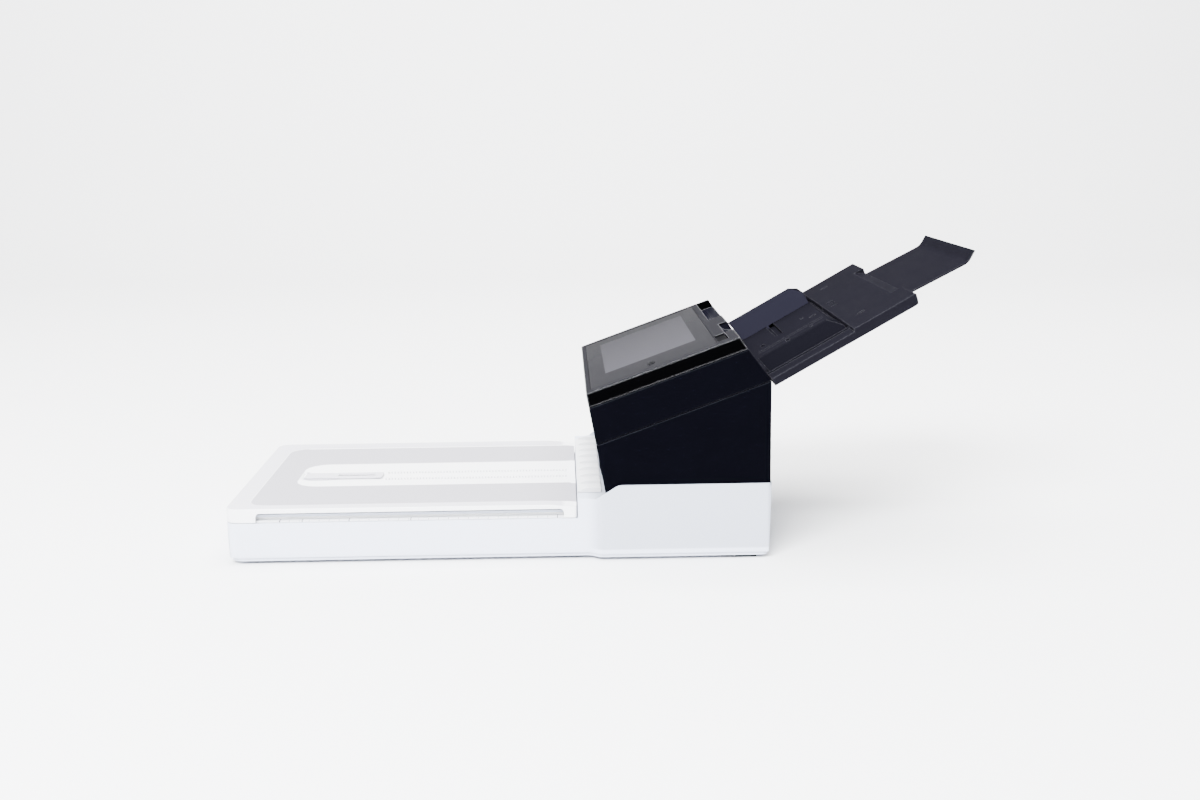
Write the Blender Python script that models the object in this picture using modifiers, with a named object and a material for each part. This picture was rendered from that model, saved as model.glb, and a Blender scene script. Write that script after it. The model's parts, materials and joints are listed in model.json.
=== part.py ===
# Flatbed document scanner with a sheet feeder on its rear end.
# Sizes are in metres. X runs to the user's right, the front faces -Y and Z is up.
# The lid ends at Y = 0, and the object is centred over its origin at the end.

import math

import bmesh
import bpy
from mathutils import Matrix, Vector

# Clearances shared by all pieces
GAP = 0.0003
RUN_GAP = 0.0006
WIDE_GAP = 0.0012
OVERRUN = 0.003
TURN_STEPS = 20
AXLE_STEPS = 16
SMALL_STEPS = 12
CASE_STEPS = 24
BEND_STEPS = 2
CREASE = math.radians(50)
SQUARE_CREASE = math.radians(80)
ARC_STEPS = 4
WELD = 0.000005
FLAT = math.radians(0.05)

# Base housing
FRONT_WIDTH = 0.302
FRONT_LENGTH = 0.354
FRONT_HEIGHT = 0.0424
FRONT_LEAN = 0.0025
FRONT_CORNER = 0.013
FLARE_OUT = 0.008
REAR_WIDTH = FRONT_WIDTH + FLARE_OUT * 2
REAR_LENGTH = 0.196
REAR_HEIGHT = 0.0776
REAR_LEAN = 0.0028
REAR_CORNER = 0.006
DECK_HEIGHT = 0.0625
DECK_START = 0.0005
FLARE_START = 0.013
FLARE_LENGTH = 0.010
FLARE_RADIUS = 0.009
SHOULDER_START = 0.0175
SHOULDER_END = 0.0415
SHOULDER_RADIUS = 0.012
BASE_LIFT = 0.0063
BASE_WALL = 0.0028
DECK_THICKNESS = 0.0025
LAP_DEPTH = 0.003
REAR_WALL = 0.0035

# Bottom plate and feet
PLATE_INSET = 0.0015
PLATE_THICKNESS = 0.003
FOOT_RADIUS = 0.009
FOOT_FROM_SIDE = 0.036
FOOT_FROM_FRONT = 0.034
PAD_WIDTH = 0.030
PAD_FROM_REAR = 0.015
PAD_LENGTH = 0.0355
PAD_STEP = 0.0142
PAD_RISE = 0.0012
PAD_FROM_SIDE = 0.006

# Flatbed glass and its frame
LEDGE_HEIGHT = 0.0396
LEDGE_THICKNESS = 0.0025
LEDGE_WIDTH = 0.0105
GLASS_TOP = 0.0438
FRAME_LIP = 0.0008
GLASS_THICKNESS = 0.0028
GLASS_REST = 0.004
WINDOW_FROM_FAR = 0.065
WINDOW_FAR = WINDOW_FROM_FAR - FRONT_WIDTH / 2
WINDOW_FROM_NEAR = 0.019
WINDOW_NEAR = FRONT_WIDTH / 2 - WINDOW_FROM_NEAR
WINDOW_FRONT = -0.318
WINDOW_REAR = -0.020
FRAME_MARGIN_NEAR = 0.0034
FRAME_MARGIN_FAR = 0.0061
FRAME_MARGIN_FRONT = 0.004
FRAME_MARGIN_REAR = 0.0044

# Scan carriage and its drive
CARRIAGE_LENGTH = 0.028
CARRIAGE_BOTTOM = 0.011
CARRIAGE_TOP = 0.036
CARRIAGE_HOME = -0.030
CARRIAGE_OVER = 0.003
SENSOR_HEIGHT = 0.0385
SENSOR_WIDTH = 0.012
ROD_RADIUS = 0.004
ROD_X = 0.024
DRIVE_HEIGHT = 0.021
ROD_CLEAR = 0.0003
BELT_FROM_SIDE = 0.051
BELT_X = BELT_FROM_SIDE - FRONT_WIDTH / 2
BELT_WIDTH = 0.006
BELT_THICKNESS = 0.0012
PULLEY_RADIUS = 0.006
PULLEY_FLANGE = 0.0009
DRIVE_PULLEY_Y = -0.009
IDLER_PULLEY_Y = -0.341
SHAFT_RADIUS = 0.0015
MOTOR_RADIUS = 0.0135
MOTOR_LENGTH = 0.026
ARM_WIDTH = 0.012
ARM_THICKNESS = 0.003
CHEEK_THICKNESS = 0.002
CHEEK_HALF = 0.004

# Lid
LID_TOP = 0.0575
LID_SHEET = 0.0022
LID_WALL = 0.003
LID_LEAN = 0.0007
RECESS_INSET = 0.014
RECESS_SLOPE = 0.006
RECESS_DEPTH = 0.0023
RECESS_RADIUS = 0.020
GROOVE_HALF = 0.053
GROOVE_FRONT = 0.304
GROOVE_RADIUS = 0.028
CHANNEL_HALF = 0.015
CHANNEL_FRONT = 0.290
CHANNEL_DEPTH = 0.003
FALL_LENGTH = 0.035
FALL_DEPTH = 0.003
CUTOUT_FRONT = 0.323
CUTOUT_REAR = 0.0136
CUTOUT_HEIGHT = 0.0098
CUTOUT_RADIUS = 0.004
LINER_THICKNESS = 0.0024
LINER_MARGIN = 0.004
MAT_THICKNESS = 0.0029
MAT_FAR = 0.051
MAT_NEAR = 0.010
MAT_END = 0.012
LID_HINGE_IN = 0.003
LID_HINGE_RISE = 0.0026
LID_RELIEF = 0.0051
KNUCKLE_RADIUS = 0.0021
KNUCKLE_PIN = 0.0010
KNUCKLE_LENGTH = 0.024
KNUCKLE_PIN_REACH = 0.005
EYE_LENGTH = 0.006
HINGE_FROM_END = 0.060

# Paper stopper in the lid's groove
STOPPER_REACH = 0.297
STOPPER_PLATE = 0.0006
STOPPER_LENGTH = 0.026
STOPPER_HALF = 0.013
EAR_THICKNESS = 0.0018
EAR_HEIGHT = 0.0030
FLAP_LENGTH = 0.084
FLAP_THICKNESS = 0.0014
FLAP_BARREL = 0.0009
EAR_LENGTH = 0.0036

# Exit ribs
RIB_PITCH = 0.031
RIB_COUNT = 9
RIB_THICKNESS = 0.0024
RIB_FRONT_RISE = 0.0028
RIB_REAR_RISE = 0.0090
RIB_LENGTH = 0.024
RIB_STRIP = 0.0014
RIB_KNEE_SHARE = 0.55
FLAP_WINDOW_START_SHARE = 0.42
FLAP_WINDOW_END_SHARE = 0.90
PORT_DEPTH_SHARE = 0.7

# Electronics at the rear
BOARD_THICKNESS = 0.0016
BOARD_HEIGHT = 0.012
BOARD_FROM_SIDE = 0.039
BOARD_LENGTH = 0.160
BOARD_NEAR = REAR_WIDTH / 2 - BOARD_FROM_SIDE
BOARD_FAR = BOARD_NEAR - BOARD_LENGTH
BOARD_FRONT = 0.060
BOARD_FROM_WALL = 0.0006
POST_RADIUS = 0.003
POST_INSET = 0.008
PORT_GAP = 0.0004
INLET_FROM_END = 0.025
INLET_X = BOARD_NEAR - INLET_FROM_END
INLET_WIDTH = 0.012
INLET_HEIGHT = 0.011
INLET_DEPTH = 0.014
INLET_BORE = 0.0032
INLET_PIN = 0.0010
INLET_PIN_STEPS = 6
USB_FROM_END = 0.070
USB_X = BOARD_NEAR - USB_FROM_END
USB_WIDTH = 0.012
USB_HEIGHT = 0.011
USB_DEPTH = 0.016
LAN_FROM_END = 0.105
LAN_X = BOARD_NEAR - LAN_FROM_END
LAN_WIDTH = 0.016
LAN_HEIGHT = 0.0135
LAN_DEPTH = 0.016
PORT_WALL = 0.0008
TONGUE_THICKNESS = 0.003

# Feeder housing, seen from the side
FEEDER_INSET = 0.002
FEEDER_WIDTH = REAR_WIDTH - FEEDER_INSET * 2
FEEDER_WALL = 0.0025
FEEDER_REAR = 0.1944
PANEL_FRONT_Y = 0.0099
PANEL_FRONT_Z = 0.1709
PANEL_SLOPE = math.radians(19.77)
FACE_FOOT_Y = 0.0287
FACE_FOOT_Z = 0.0699
LIP_HEIGHT = 0.0215
BOSS_RADIUS = 0.0055
BOSS_LENGTH = 0.0035
PIN_RADIUS = 0.0025
PIN_REACH = 0.0105
HINGE_Y = 0.0295
HINGE_Z = 0.091

# Feeder cover in the panel's own frame: S runs up the panel from its front edge, T is square to it
PANEL_LENGTH = 0.162
CAP_DEPTH = 0.0145
CAP_REAR_LEAN = 0.0036
SEAM_DEPTH = 0.0525
COVER_WALL = 0.0025
CAP_SHEET = 0.0036
SKIRT_DEPTH = 0.0212
ARM_PLATE = 0.0035
ARM_INSET = 0.007
ARM_EYE = 0.0052
ARM_SPAN = 0.030
EDGE_ROUND = 0.0012

# Touch panel
GLASS_FRONT = 0.0054
GLASS_FROM_REAR = 0.0225
GLASS_REAR = PANEL_LENGTH - GLASS_FROM_REAR
GLASS_SIDE = 0.011
GLASS_ROUND = 0.003
TOUCH_THICKNESS = 0.0018
TOUCH_SINK = 0.0002
SCREEN_FROM_FAR = 0.045
SCREEN_FAR = SCREEN_FROM_FAR - FEEDER_WIDTH / 2
SCREEN_FROM_NEAR = 0.074
SCREEN_NEAR = FEEDER_WIDTH / 2 - SCREEN_FROM_NEAR
SCREEN_FRONT = 0.023
SCREEN_FROM_REAR = 0.0169
SCREEN_REAR = GLASS_REAR - SCREEN_FROM_REAR
SCREEN_THICKNESS = 0.0045
SCREEN_MARGIN = 0.004
PANEL_RIM = 0.003
PANEL_BOARD = 0.0016
BOARD_SIDE = 0.030
KEY_FROM_SIDE = 0.035
KEY_X = FEEDER_WIDTH / 2 - KEY_FROM_SIDE
KEY_FROM_REAR = 0.0685
KEY_S = GLASS_REAR - KEY_FROM_REAR
KEY_WIDTH = 0.011
KEY_LENGTH = 0.006
KEY_TRAVEL = 0.0010
KEY_PROUD = 0.0004
KEY_RIM = 0.0008

# Release button and the scoops at the rear edge of the panel
BUTTON_FROM_SIDE = 0.0355
BUTTON_X = FEEDER_WIDTH / 2 - BUTTON_FROM_SIDE
BUTTON_WIDTH = 0.038
BUTTON_FROM_REAR = 0.0155
BUTTON_S = PANEL_LENGTH - BUTTON_FROM_REAR
BUTTON_LENGTH = 0.0100
BUTTON_SINK = 0.0012
BUTTON_FLANGE = 0.002
SCOOP_FAR_FROM_SIDE = 0.0425
SCOOP_FAR_X = SCOOP_FAR_FROM_SIDE - FEEDER_WIDTH / 2
SCOOP_FAR_WIDTH = 0.083
SCOOP_FAR_LENGTH = 0.0155
SCOOP_NEAR_FROM_SIDE = 0.087
SCOOP_NEAR_X = FEEDER_WIDTH / 2 - SCOOP_NEAR_FROM_SIDE
SCOOP_NEAR_WIDTH = 0.060
SCOOP_NEAR_RADIUS = 0.0115
SCOOP_NEAR_SHIFT = 0.0015
SCOOP_DEPTH = 0.0100

# Straight paper path under the cover: U runs down it from the tray, W is square to it
PATH_SLOPE = math.radians(30.0)
PATH_Y = 0.1939
PATH_Z = 0.1816
GUIDE_DROP = 0.0010
GUIDE_THICKNESS = 0.0020
GUIDE_RISE = 0.0020
GUIDE_START = 0.0120
GUIDE_END = 0.1720
GUIDE_LIP = 0.006
UPPER_END = 0.1700
UPPER_FROM_SIDE = 0.029
UPPER_HALF = FEEDER_WIDTH / 2 - UPPER_FROM_SIDE
UPPER_START = 0.024
UPPER_WEB = 0.0125
ENTRY_HEIGHT = 0.013
ENTRY_FROM_SIDE = 0.0305
ENTRY_HALF = FEEDER_WIDTH / 2 - ENTRY_FROM_SIDE
ENTRY_REACH = 0.027
ENTRY_START = 0.015
ENTRY_DROP = 0.009
FEED_U = 0.040
FEED_RADIUS = 0.012
FEED_HALF = 0.022
PART_RADIUS = 0.009
PART_SPARE = 0.005
TRANSPORT_U = 0.090
TRANSPORT_RADIUS = 0.007
TYRE_HALF = 0.010
TYRE_X = 0.055
IDLER_RADIUS = 0.0055
EXIT_U = 0.160
AXLE_RADIUS = 0.003
NIP_GAP = 0.0003
LINE_SENSOR_FROM_SIDE = 0.045
LINE_SENSOR_HALF = FEEDER_WIDTH / 2 - LINE_SENSOR_FROM_SIDE
LINE_SENSOR_LENGTH = 0.014
LINE_SENSOR_DEPTH = 0.012
LOWER_SENSOR_U = 0.132
UPPER_SENSOR_U = 0.110
SIDE_PLATE = 0.0015
SIDE_PLATE_FROM_SIDE = 0.0152
SIDE_PLATE_X = FEEDER_WIDTH / 2 - SIDE_PLATE_FROM_SIDE
SIDE_FRONT = 0.044
SIDE_REAR = 0.186
SIDE_WINDOW = 0.020

# Feeder drive
DRIVE_BELT_FROM_SIDE = 0.0105
DRIVE_BELT_X = FEEDER_WIDTH / 2 - DRIVE_BELT_FROM_SIDE
DRIVE_BELT_WIDTH = 0.004
DRIVE_PULLEY = 0.007
MOTOR_Y = 0.150
MOTOR_Z = 0.090
FEED_MOTOR_RADIUS = 0.018
FEED_MOTOR_LENGTH = 0.040

# Input tray: V runs up it from its lower edge, N is square to it
TRAY_SLOPE = math.radians(29.5)
TRAY_Y = 0.1952
TRAY_Z = 0.1838
TRAY_INSET = 0.0005
TRAY_WIDTH = FEEDER_WIDTH - TRAY_INSET * 2
TRAY_LENGTH = 0.163
TRAY_UNDER = 0.0082
TRAY_UPPER_START = 0.092
TRAY_UPPER_RISE = 0.003
TRAY_FLOOR = 0.003
TRAY_SHEET = 0.0022
TRAY_MARGIN = 0.027
TRAY_BED_HALF = TRAY_WIDTH / 2 - TRAY_MARGIN
TRAY_END_ROUND = 0.0045
TRAY_RAIL_X = TRAY_BED_HALF + EDGE_ROUND / 2
TRAY_RAIL_RISE = 0.002
TRAY_RAIL_WIDTH = 0.003
SCOOP_FROM_SIDE = 0.0595
SCOOP_HALF = TRAY_WIDTH / 2 - SCOOP_FROM_SIDE
SCOOP_LENGTH = 0.013
SCOOP_START = TRAY_LENGTH - SCOOP_LENGTH
SCOOP_DROP = 0.0062
SCOOP_SHEET = 0.0015
SLOT_V = 0.041
GUIDE_TRAVEL = 0.052
UNDER_SHEET = 0.0012
LUG_REACH = 0.012
LUG_FROM_SIDE = 0.0385
LUG_X = TRAY_WIDTH / 2 - LUG_FROM_SIDE
LUG_HALF = 0.003
LUG_RISE = 0.004

# Side guides on the tray
GUIDE_WALL_IN = 0.0205
GUIDE_WALL_X = TRAY_BED_HALF - GUIDE_WALL_IN
GUIDE_WALL = 0.0025
GUIDE_NEAR_TALL = 0.0184
GUIDE_FAR_TALL = 0.0266
GUIDE_FOOT = 0.0145
GUIDE_TOE = 0.0012
LEG_WIDTH = 0.008
GUIDE_LENGTH = 0.0815
GUIDE_FROM_EDGE = 0.0026
GUIDE_NOSE = 0.006
RACK_OVER = 0.006
RACK_THICKNESS = 0.0012
RACK_WIDTH = 0.003
PINION_RADIUS = 0.0042
PINION_TEETH = 12
PINION_TOOTH = 0.0008
PINION_BORE = 0.0012

# Tray extension, in its own frame at the tray's upper end
EXT_OVER = 0.004
EXT_HALF = SCOOP_HALF + EXT_OVER
EXT_SLOPE = math.radians(-2.2)
EXT_DROP = 0.0049
EXT_INSIDE = 0.013
EXT_REACH = 0.0690
EXT_SHEET = 0.0018
EXT_LIP_RUN = 0.0120
EXT_LIP_RISE = 0.0075
EXT_LIP_ROUND = 0.014

# Colour, roughness and metallic value of each finish
FINISHES = {
    "white_shell": ((0.86, 0.87, 0.89), 0.42, 0.0),
    "lid_shell": ((0.80, 0.80, 0.83), 0.45, 0.0),
    "black_shell": ((0.012, 0.012, 0.020), 0.40, 0.0),
    "gloss_black": ((0.006, 0.006, 0.007), 0.12, 0.0),
    "dark_grey": ((0.045, 0.043, 0.055), 0.45, 0.0),
    "mid_grey": ((0.20, 0.20, 0.22), 0.50, 0.0),
    "glass_dark": ((0.08, 0.08, 0.09), 0.06, 0.0),
    "screen": ((0.26, 0.25, 0.29), 0.30, 0.0),
    "glass_clear": ((0.55, 0.62, 0.60), 0.05, 0.0),
    "mat_white": ((0.90, 0.90, 0.90), 0.70, 0.0),
    "board_green": ((0.02, 0.16, 0.07), 0.45, 0.0),
    "steel": ((0.55, 0.56, 0.58), 0.30, 1.0),
    "rubber": ((0.03, 0.03, 0.032), 0.80, 0.0),
    "white_part": ((0.75, 0.75, 0.74), 0.50, 0.0),
}


def clear_scene():
    for item in list(bpy.data.objects):
        bpy.data.objects.remove(item, do_unlink=True)


def make_collection(name):
    group = bpy.data.collections.new(name)
    bpy.context.scene.collection.children.link(group)
    return group


clear_scene()
PARTS = make_collection("document_scanner")
CUTTERS = make_collection("cutters")


def finish(name):
    if name in bpy.data.materials:
        return bpy.data.materials[name]
    colour, roughness, metallic = FINISHES[name]
    material = bpy.data.materials.new(name)
    material.use_nodes = True
    shader = material.node_tree.nodes["Principled BSDF"]
    shader.inputs["Base Color"].default_value = (*colour, 1)
    shader.inputs["Roughness"].default_value = roughness
    shader.inputs["Metallic"].default_value = metallic
    material.diffuse_color = (*colour, 1)
    return material


def frame(name, parent=None, location=(0, 0, 0), tilt=0):
    empty = bpy.data.objects.new(name, None)
    empty.parent = parent
    empty.location = location
    empty.rotation_euler = (tilt, 0, 0)
    empty.empty_display_size = REAR_WALL
    PARTS.objects.link(empty)
    return empty


def link(piece, parent):
    CUTTERS.objects.link(piece)
    piece.parent = parent
    piece.hide_render = True
    piece.display_type = "WIRE"
    return piece


def keep(piece, material, name, parent=None):
    """Name a finished shape, give it its finish and hand it to the parts, or to another frame."""
    if parent:
        bpy.context.view_layer.update()
        piece.data.transform(parent.matrix_world.inverted() @ piece.matrix_world)
        piece.matrix_basis = Matrix.Identity(4)
        piece.parent = parent
    CUTTERS.objects.unlink(piece)
    PARTS.objects.link(piece)
    piece.hide_render = False
    piece.display_type = "TEXTURED"
    piece.name = name
    piece.data.name = name
    piece.data.materials.clear()
    piece.data.materials.append(finish(material))
    return piece


def smooth(piece, angle=math.radians(35)):
    piece.data.shade_smooth()
    piece.data.set_sharp_from_angle(angle=angle)
    return piece


def bake(piece):
    """Turn a piece and its modifiers into a plain mesh."""
    depsgraph = bpy.context.evaluated_depsgraph_get()
    mesh = bpy.data.meshes.new_from_object(piece.evaluated_get(depsgraph))
    piece.modifiers.clear()
    piece.data = mesh
    return piece


def tidy(piece):
    """Merge doubled points and drop faces without area."""
    builder = bmesh.new()
    builder.from_mesh(piece.data)
    bmesh.ops.remove_doubles(builder, verts=builder.verts, dist=WELD)
    bmesh.ops.dissolve_degenerate(builder, dist=WELD, edges=builder.edges)
    builder.to_mesh(piece.data)
    builder.free()
    return piece


def box(low, high, parent):
    size = Vector(high) - Vector(low)
    middle = (Vector(high) + Vector(low)) / 2
    mesh = bpy.data.meshes.new("box")
    builder = bmesh.new()
    bmesh.ops.create_cube(builder, size=1)
    bmesh.ops.scale(builder, vec=size, verts=builder.verts)
    bmesh.ops.translate(builder, vec=middle, verts=builder.verts)
    builder.to_mesh(mesh)
    builder.free()
    return link(bpy.data.objects.new("box", mesh), parent)


def fillet(corners, steps=ARC_STEPS):
    """Outline points from corners (a, b) or (a, b, radius), with each radius as an arc."""
    outline = []
    for index, corner in enumerate(corners):
        here = Vector(corner[:2])
        radius = corner[2] if len(corner) > 2 else 0
        if radius <= 0:
            outline.append(here)
            continue
        back = Vector(corners[index - 1][:2]) - here
        ahead = Vector(corners[(index + 1) % len(corners)][:2]) - here
        half = back.angle(ahead) / 2
        reach = min(radius / math.tan(half), back.length / 2, ahead.length / 2)
        radius = reach * math.tan(half)
        middle = here + (back.normalized() + ahead.normalized()).normalized() * radius / math.sin(half)
        start = here + back.normalized() * reach - middle
        end = here + ahead.normalized() * reach - middle
        turn = start.angle_signed(end)
        for step in range(steps + 1):
            outline.append(middle + Matrix.Rotation(-turn * step / steps, 2) @ start)
    return outline


# Turns that lay the thickness of a flat outline along each axis
LAY = {
    "X": Matrix(((0, 0, 1, 0), (1, 0, 0, 0), (0, 1, 0, 0), (0, 0, 0, 1))),
    "Y": Matrix(((1, 0, 0, 0), (0, 0, -1, 0), (0, 1, 0, 0), (0, 0, 0, 1))),
    "Z": Matrix.Identity(4),
}


def prism(outlines, axis, low, high, parent):
    """Solid from a flat filled outline, with holes for any further outlines inside it.

    Outlines are in (Y, Z) for axis X, (X, Z) for axis Y and (X, Y) for axis Z.
    """
    if not isinstance(outlines[0], list):
        outlines = [outlines]
    curve = bpy.data.curves.new("outline", "CURVE")
    curve.dimensions = "2D"
    curve.fill_mode = "BOTH"
    curve.extrude = (high - low) / 2
    for outline in outlines:
        spline = curve.splines.new("POLY")
        spline.points.add(len(outline) - 1)
        for point, (a, b) in zip(spline.points, outline):
            point.co = (a, b, 0, 1)
        spline.use_cyclic_u = True
    drawn = bpy.data.objects.new("outline", curve)
    CUTTERS.objects.link(drawn)
    depsgraph = bpy.context.evaluated_depsgraph_get()
    mesh = bpy.data.meshes.new_from_object(drawn.evaluated_get(depsgraph))
    bpy.data.objects.remove(drawn)
    shift = (low + high) / 2
    move = Matrix.Translation((0, 0, -shift if axis == "Y" else shift))
    builder = bmesh.new()
    builder.from_mesh(mesh)
    bmesh.ops.remove_doubles(builder, verts=builder.verts, dist=WELD)
    bmesh.ops.transform(builder, matrix=LAY[axis] @ move, verts=builder.verts)
    bmesh.ops.dissolve_limit(builder, angle_limit=FLAT, verts=builder.verts, edges=builder.edges)
    bmesh.ops.recalc_face_normals(builder, faces=builder.faces)
    builder.to_mesh(mesh)
    builder.free()
    return link(bpy.data.objects.new("prism", mesh), parent)


def loft(lower, upper, low, high, parent):
    """Solid between two like outlines in (X, Y) at two heights."""
    mesh = bpy.data.meshes.new("loft")
    builder = bmesh.new()
    below = [builder.verts.new((x, y, low)) for x, y in lower]
    above = [builder.verts.new((x, y, high)) for x, y in upper]
    builder.faces.new(below)
    builder.faces.new(above)
    for index, corner in enumerate(below):
        after = (index + 1) % len(below)
        builder.faces.new((corner, below[after], above[after], above[index]))
    bmesh.ops.recalc_face_normals(builder, faces=builder.faces)
    builder.to_mesh(mesh)
    builder.free()
    return link(bpy.data.objects.new("loft", mesh), parent)


def turned(profile, parent, location=(0, 0, 0), axis="Z", steps=TURN_STEPS):
    """Turned solid from a profile of (radius, height) that runs from its top to its bottom."""
    mesh = bpy.data.meshes.new("turned")
    points = [(radius, 0, height) for radius, height in profile]
    edges = [(index, index + 1) for index in range(len(points) - 1)]
    mesh.from_pydata(points, edges, [])
    piece = link(bpy.data.objects.new("turned", mesh), parent)
    screw = piece.modifiers.new("turn", "SCREW")
    screw.steps = steps
    screw.render_steps = steps
    screw.use_merge_vertices = True
    screw.merge_threshold = WELD
    bake(piece)
    if axis == "X":
        piece.data.transform(LAY["X"])
    if axis == "Y":
        piece.data.transform(LAY["Y"])
    piece.location = location
    return smooth(piece)


def rod(radius, low, high, parent, location=(0, 0, 0), axis="Z", steps=TURN_STEPS):
    return turned([(0, high), (radius, high), (radius, low), (0, low)], parent, location, axis, steps)


def combine(piece, others, operation):
    for other in others:
        change = piece.modifiers.new(operation.lower(), "BOOLEAN")
        change.operation = operation
        change.solver = "EXACT"
        change.object = other
    tidy(bake(piece))
    for other in others:
        bpy.data.objects.remove(other)
    return piece


def cut(piece, *cutters):
    return combine(piece, cutters, "DIFFERENCE")


def join(piece, *others):
    return combine(piece, others, "UNION")


def round_edges(piece, width, segments=2, angle=math.radians(40)):
    """Round the outward edges that are sharper than an angle."""
    builder = bmesh.new()
    builder.from_mesh(piece.data)
    weight = builder.edges.layers.float.new("bevel_weight_edge")
    for edge in builder.edges:
        edge[weight] = float(edge.is_convex and edge.calc_face_angle() > angle)
    builder.to_mesh(piece.data)
    builder.free()
    bevel = piece.modifiers.new("round", "BEVEL")
    bevel.width = width
    bevel.segments = segments
    bevel.limit_method = "WEIGHT"
    return tidy(bake(piece))


def circle(a, b, radius, steps=TURN_STEPS):
    turns = [2 * math.pi * step / steps for step in range(steps)]
    return [(a + radius * math.cos(turn), b + radius * math.sin(turn)) for turn in turns]


def rectangle(a_low, b_low, a_high, b_high, radius=0):
    corners = [(a_low, b_low), (a_high, b_low), (a_high, b_high), (a_low, b_high)]
    return fillet([(a, b, radius) for a, b in corners])

# Places that several pieces share
FRONT_HALF = FRONT_WIDTH / 2
REAR_HALF = REAR_WIDTH / 2
FEEDER_HALF = FEEDER_WIDTH / 2
PLATE_TOP = BASE_LIFT - GAP
PLATE_BOTTOM = PLATE_TOP - PLATE_THICKNESS
WELL_REAR = DECK_START
CAVITY_FRONT = DECK_START + BASE_WALL
DECK_UNDER = DECK_HEIGHT - DECK_THICKNESS
FRAME_FAR = -FRONT_HALF + FRAME_MARGIN_FAR + GAP
FRAME_NEAR = FRONT_HALF - FRAME_MARGIN_NEAR - GAP
FRAME_FRONT = -FRONT_LENGTH + FRAME_MARGIN_FRONT + GAP
FRAME_REAR = -FRAME_MARGIN_REAR - GAP
FRAME_BOTTOM = LEDGE_HEIGHT + GAP
LID_LIFT = FRONT_HEIGHT + GAP
LID_HINGE_X = -FRONT_HALF + LID_HINGE_IN
LID_HINGE_Z = FRONT_HEIGHT + LID_HINGE_RISE
RECESS_FLOOR = LID_TOP - RECESS_DEPTH
CHANNEL_FLOOR = RECESS_FLOOR - CHANNEL_DEPTH
LINER_TOP = CHANNEL_FLOOR - LID_SHEET - GAP
LINER_BOTTOM = LINER_TOP - LINER_THICKNESS
MAT_TOP = LINER_BOTTOM - GAP
MAT_BOTTOM = MAT_TOP - MAT_THICKNESS
FACE_SLOPE = (FACE_FOOT_Y - PANEL_FRONT_Y) / (PANEL_FRONT_Z - FACE_FOOT_Z)


def base_plan(inset, front=-FRONT_LENGTH, rear=REAR_LENGTH):
    """Plan outline of the base, drawn in by a wall."""
    narrow = FRONT_HALF - inset
    wide = REAR_HALF - inset
    flare_end = FLARE_START + FLARE_LENGTH
    front_round = max(FRONT_CORNER - inset, BASE_WALL)
    rear_round = max(REAR_CORNER - inset, BASE_WALL)
    right = [
        (narrow, front + inset, front_round),
        (narrow, FLARE_START, FLARE_RADIUS),
        (wide, flare_end, FLARE_RADIUS),
        (wide, rear - inset, rear_round),
    ]
    left = [(-x, y, radius) for x, y, radius in reversed(right)]
    return fillet(right + left)


def shoulder(drop, start_y):
    """Side outline over which the base is cut away, lowered by a drop."""
    deck = DECK_HEIGHT - drop
    top = REAR_HEIGHT - drop
    return fillet([
        (start_y, deck),
        (SHOULDER_START, deck, SHOULDER_RADIUS),
        (SHOULDER_END, top, SHOULDER_RADIUS),
        (FEEDER_REAR + GAP, top),
        (FEEDER_REAR + GAP, REAR_HEIGHT + OVERRUN),
        (start_y, REAR_HEIGHT + OVERRUN),
    ])


def face_y(height):
    """Place of the feeder's leaning front face at a height."""
    return PANEL_FRONT_Y + (PANEL_FRONT_Z - height) * FACE_SLOPE


def lap_outline():
    """Side outline of the pocket that the feeder housing stands in, over the base's rim."""
    foot = DECK_HEIGHT - LAP_DEPTH
    top = REAR_HEIGHT - LAP_DEPTH
    lift = REAR_HEIGHT + OVERRUN
    slope = (top - foot) / (SHOULDER_END - SHOULDER_START)
    start = face_y(FACE_FOOT_Z) - GAP
    return fillet([
        (face_y(lift) - GAP, lift),
        (start, foot + (start - SHOULDER_START) * slope),
        (SHOULDER_END, top, SHOULDER_RADIUS),
        (FEEDER_REAR + GAP, top),
        (FEEDER_REAR + GAP, lift),
    ])


def port_places():
    """Place, width and height of each socket in the rear wall."""
    return [
        (INLET_X, INLET_WIDTH, INLET_HEIGHT),
        (USB_X, USB_WIDTH, USB_HEIGHT),
        (LAN_X, LAN_WIDTH, LAN_HEIGHT),
    ]


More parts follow.
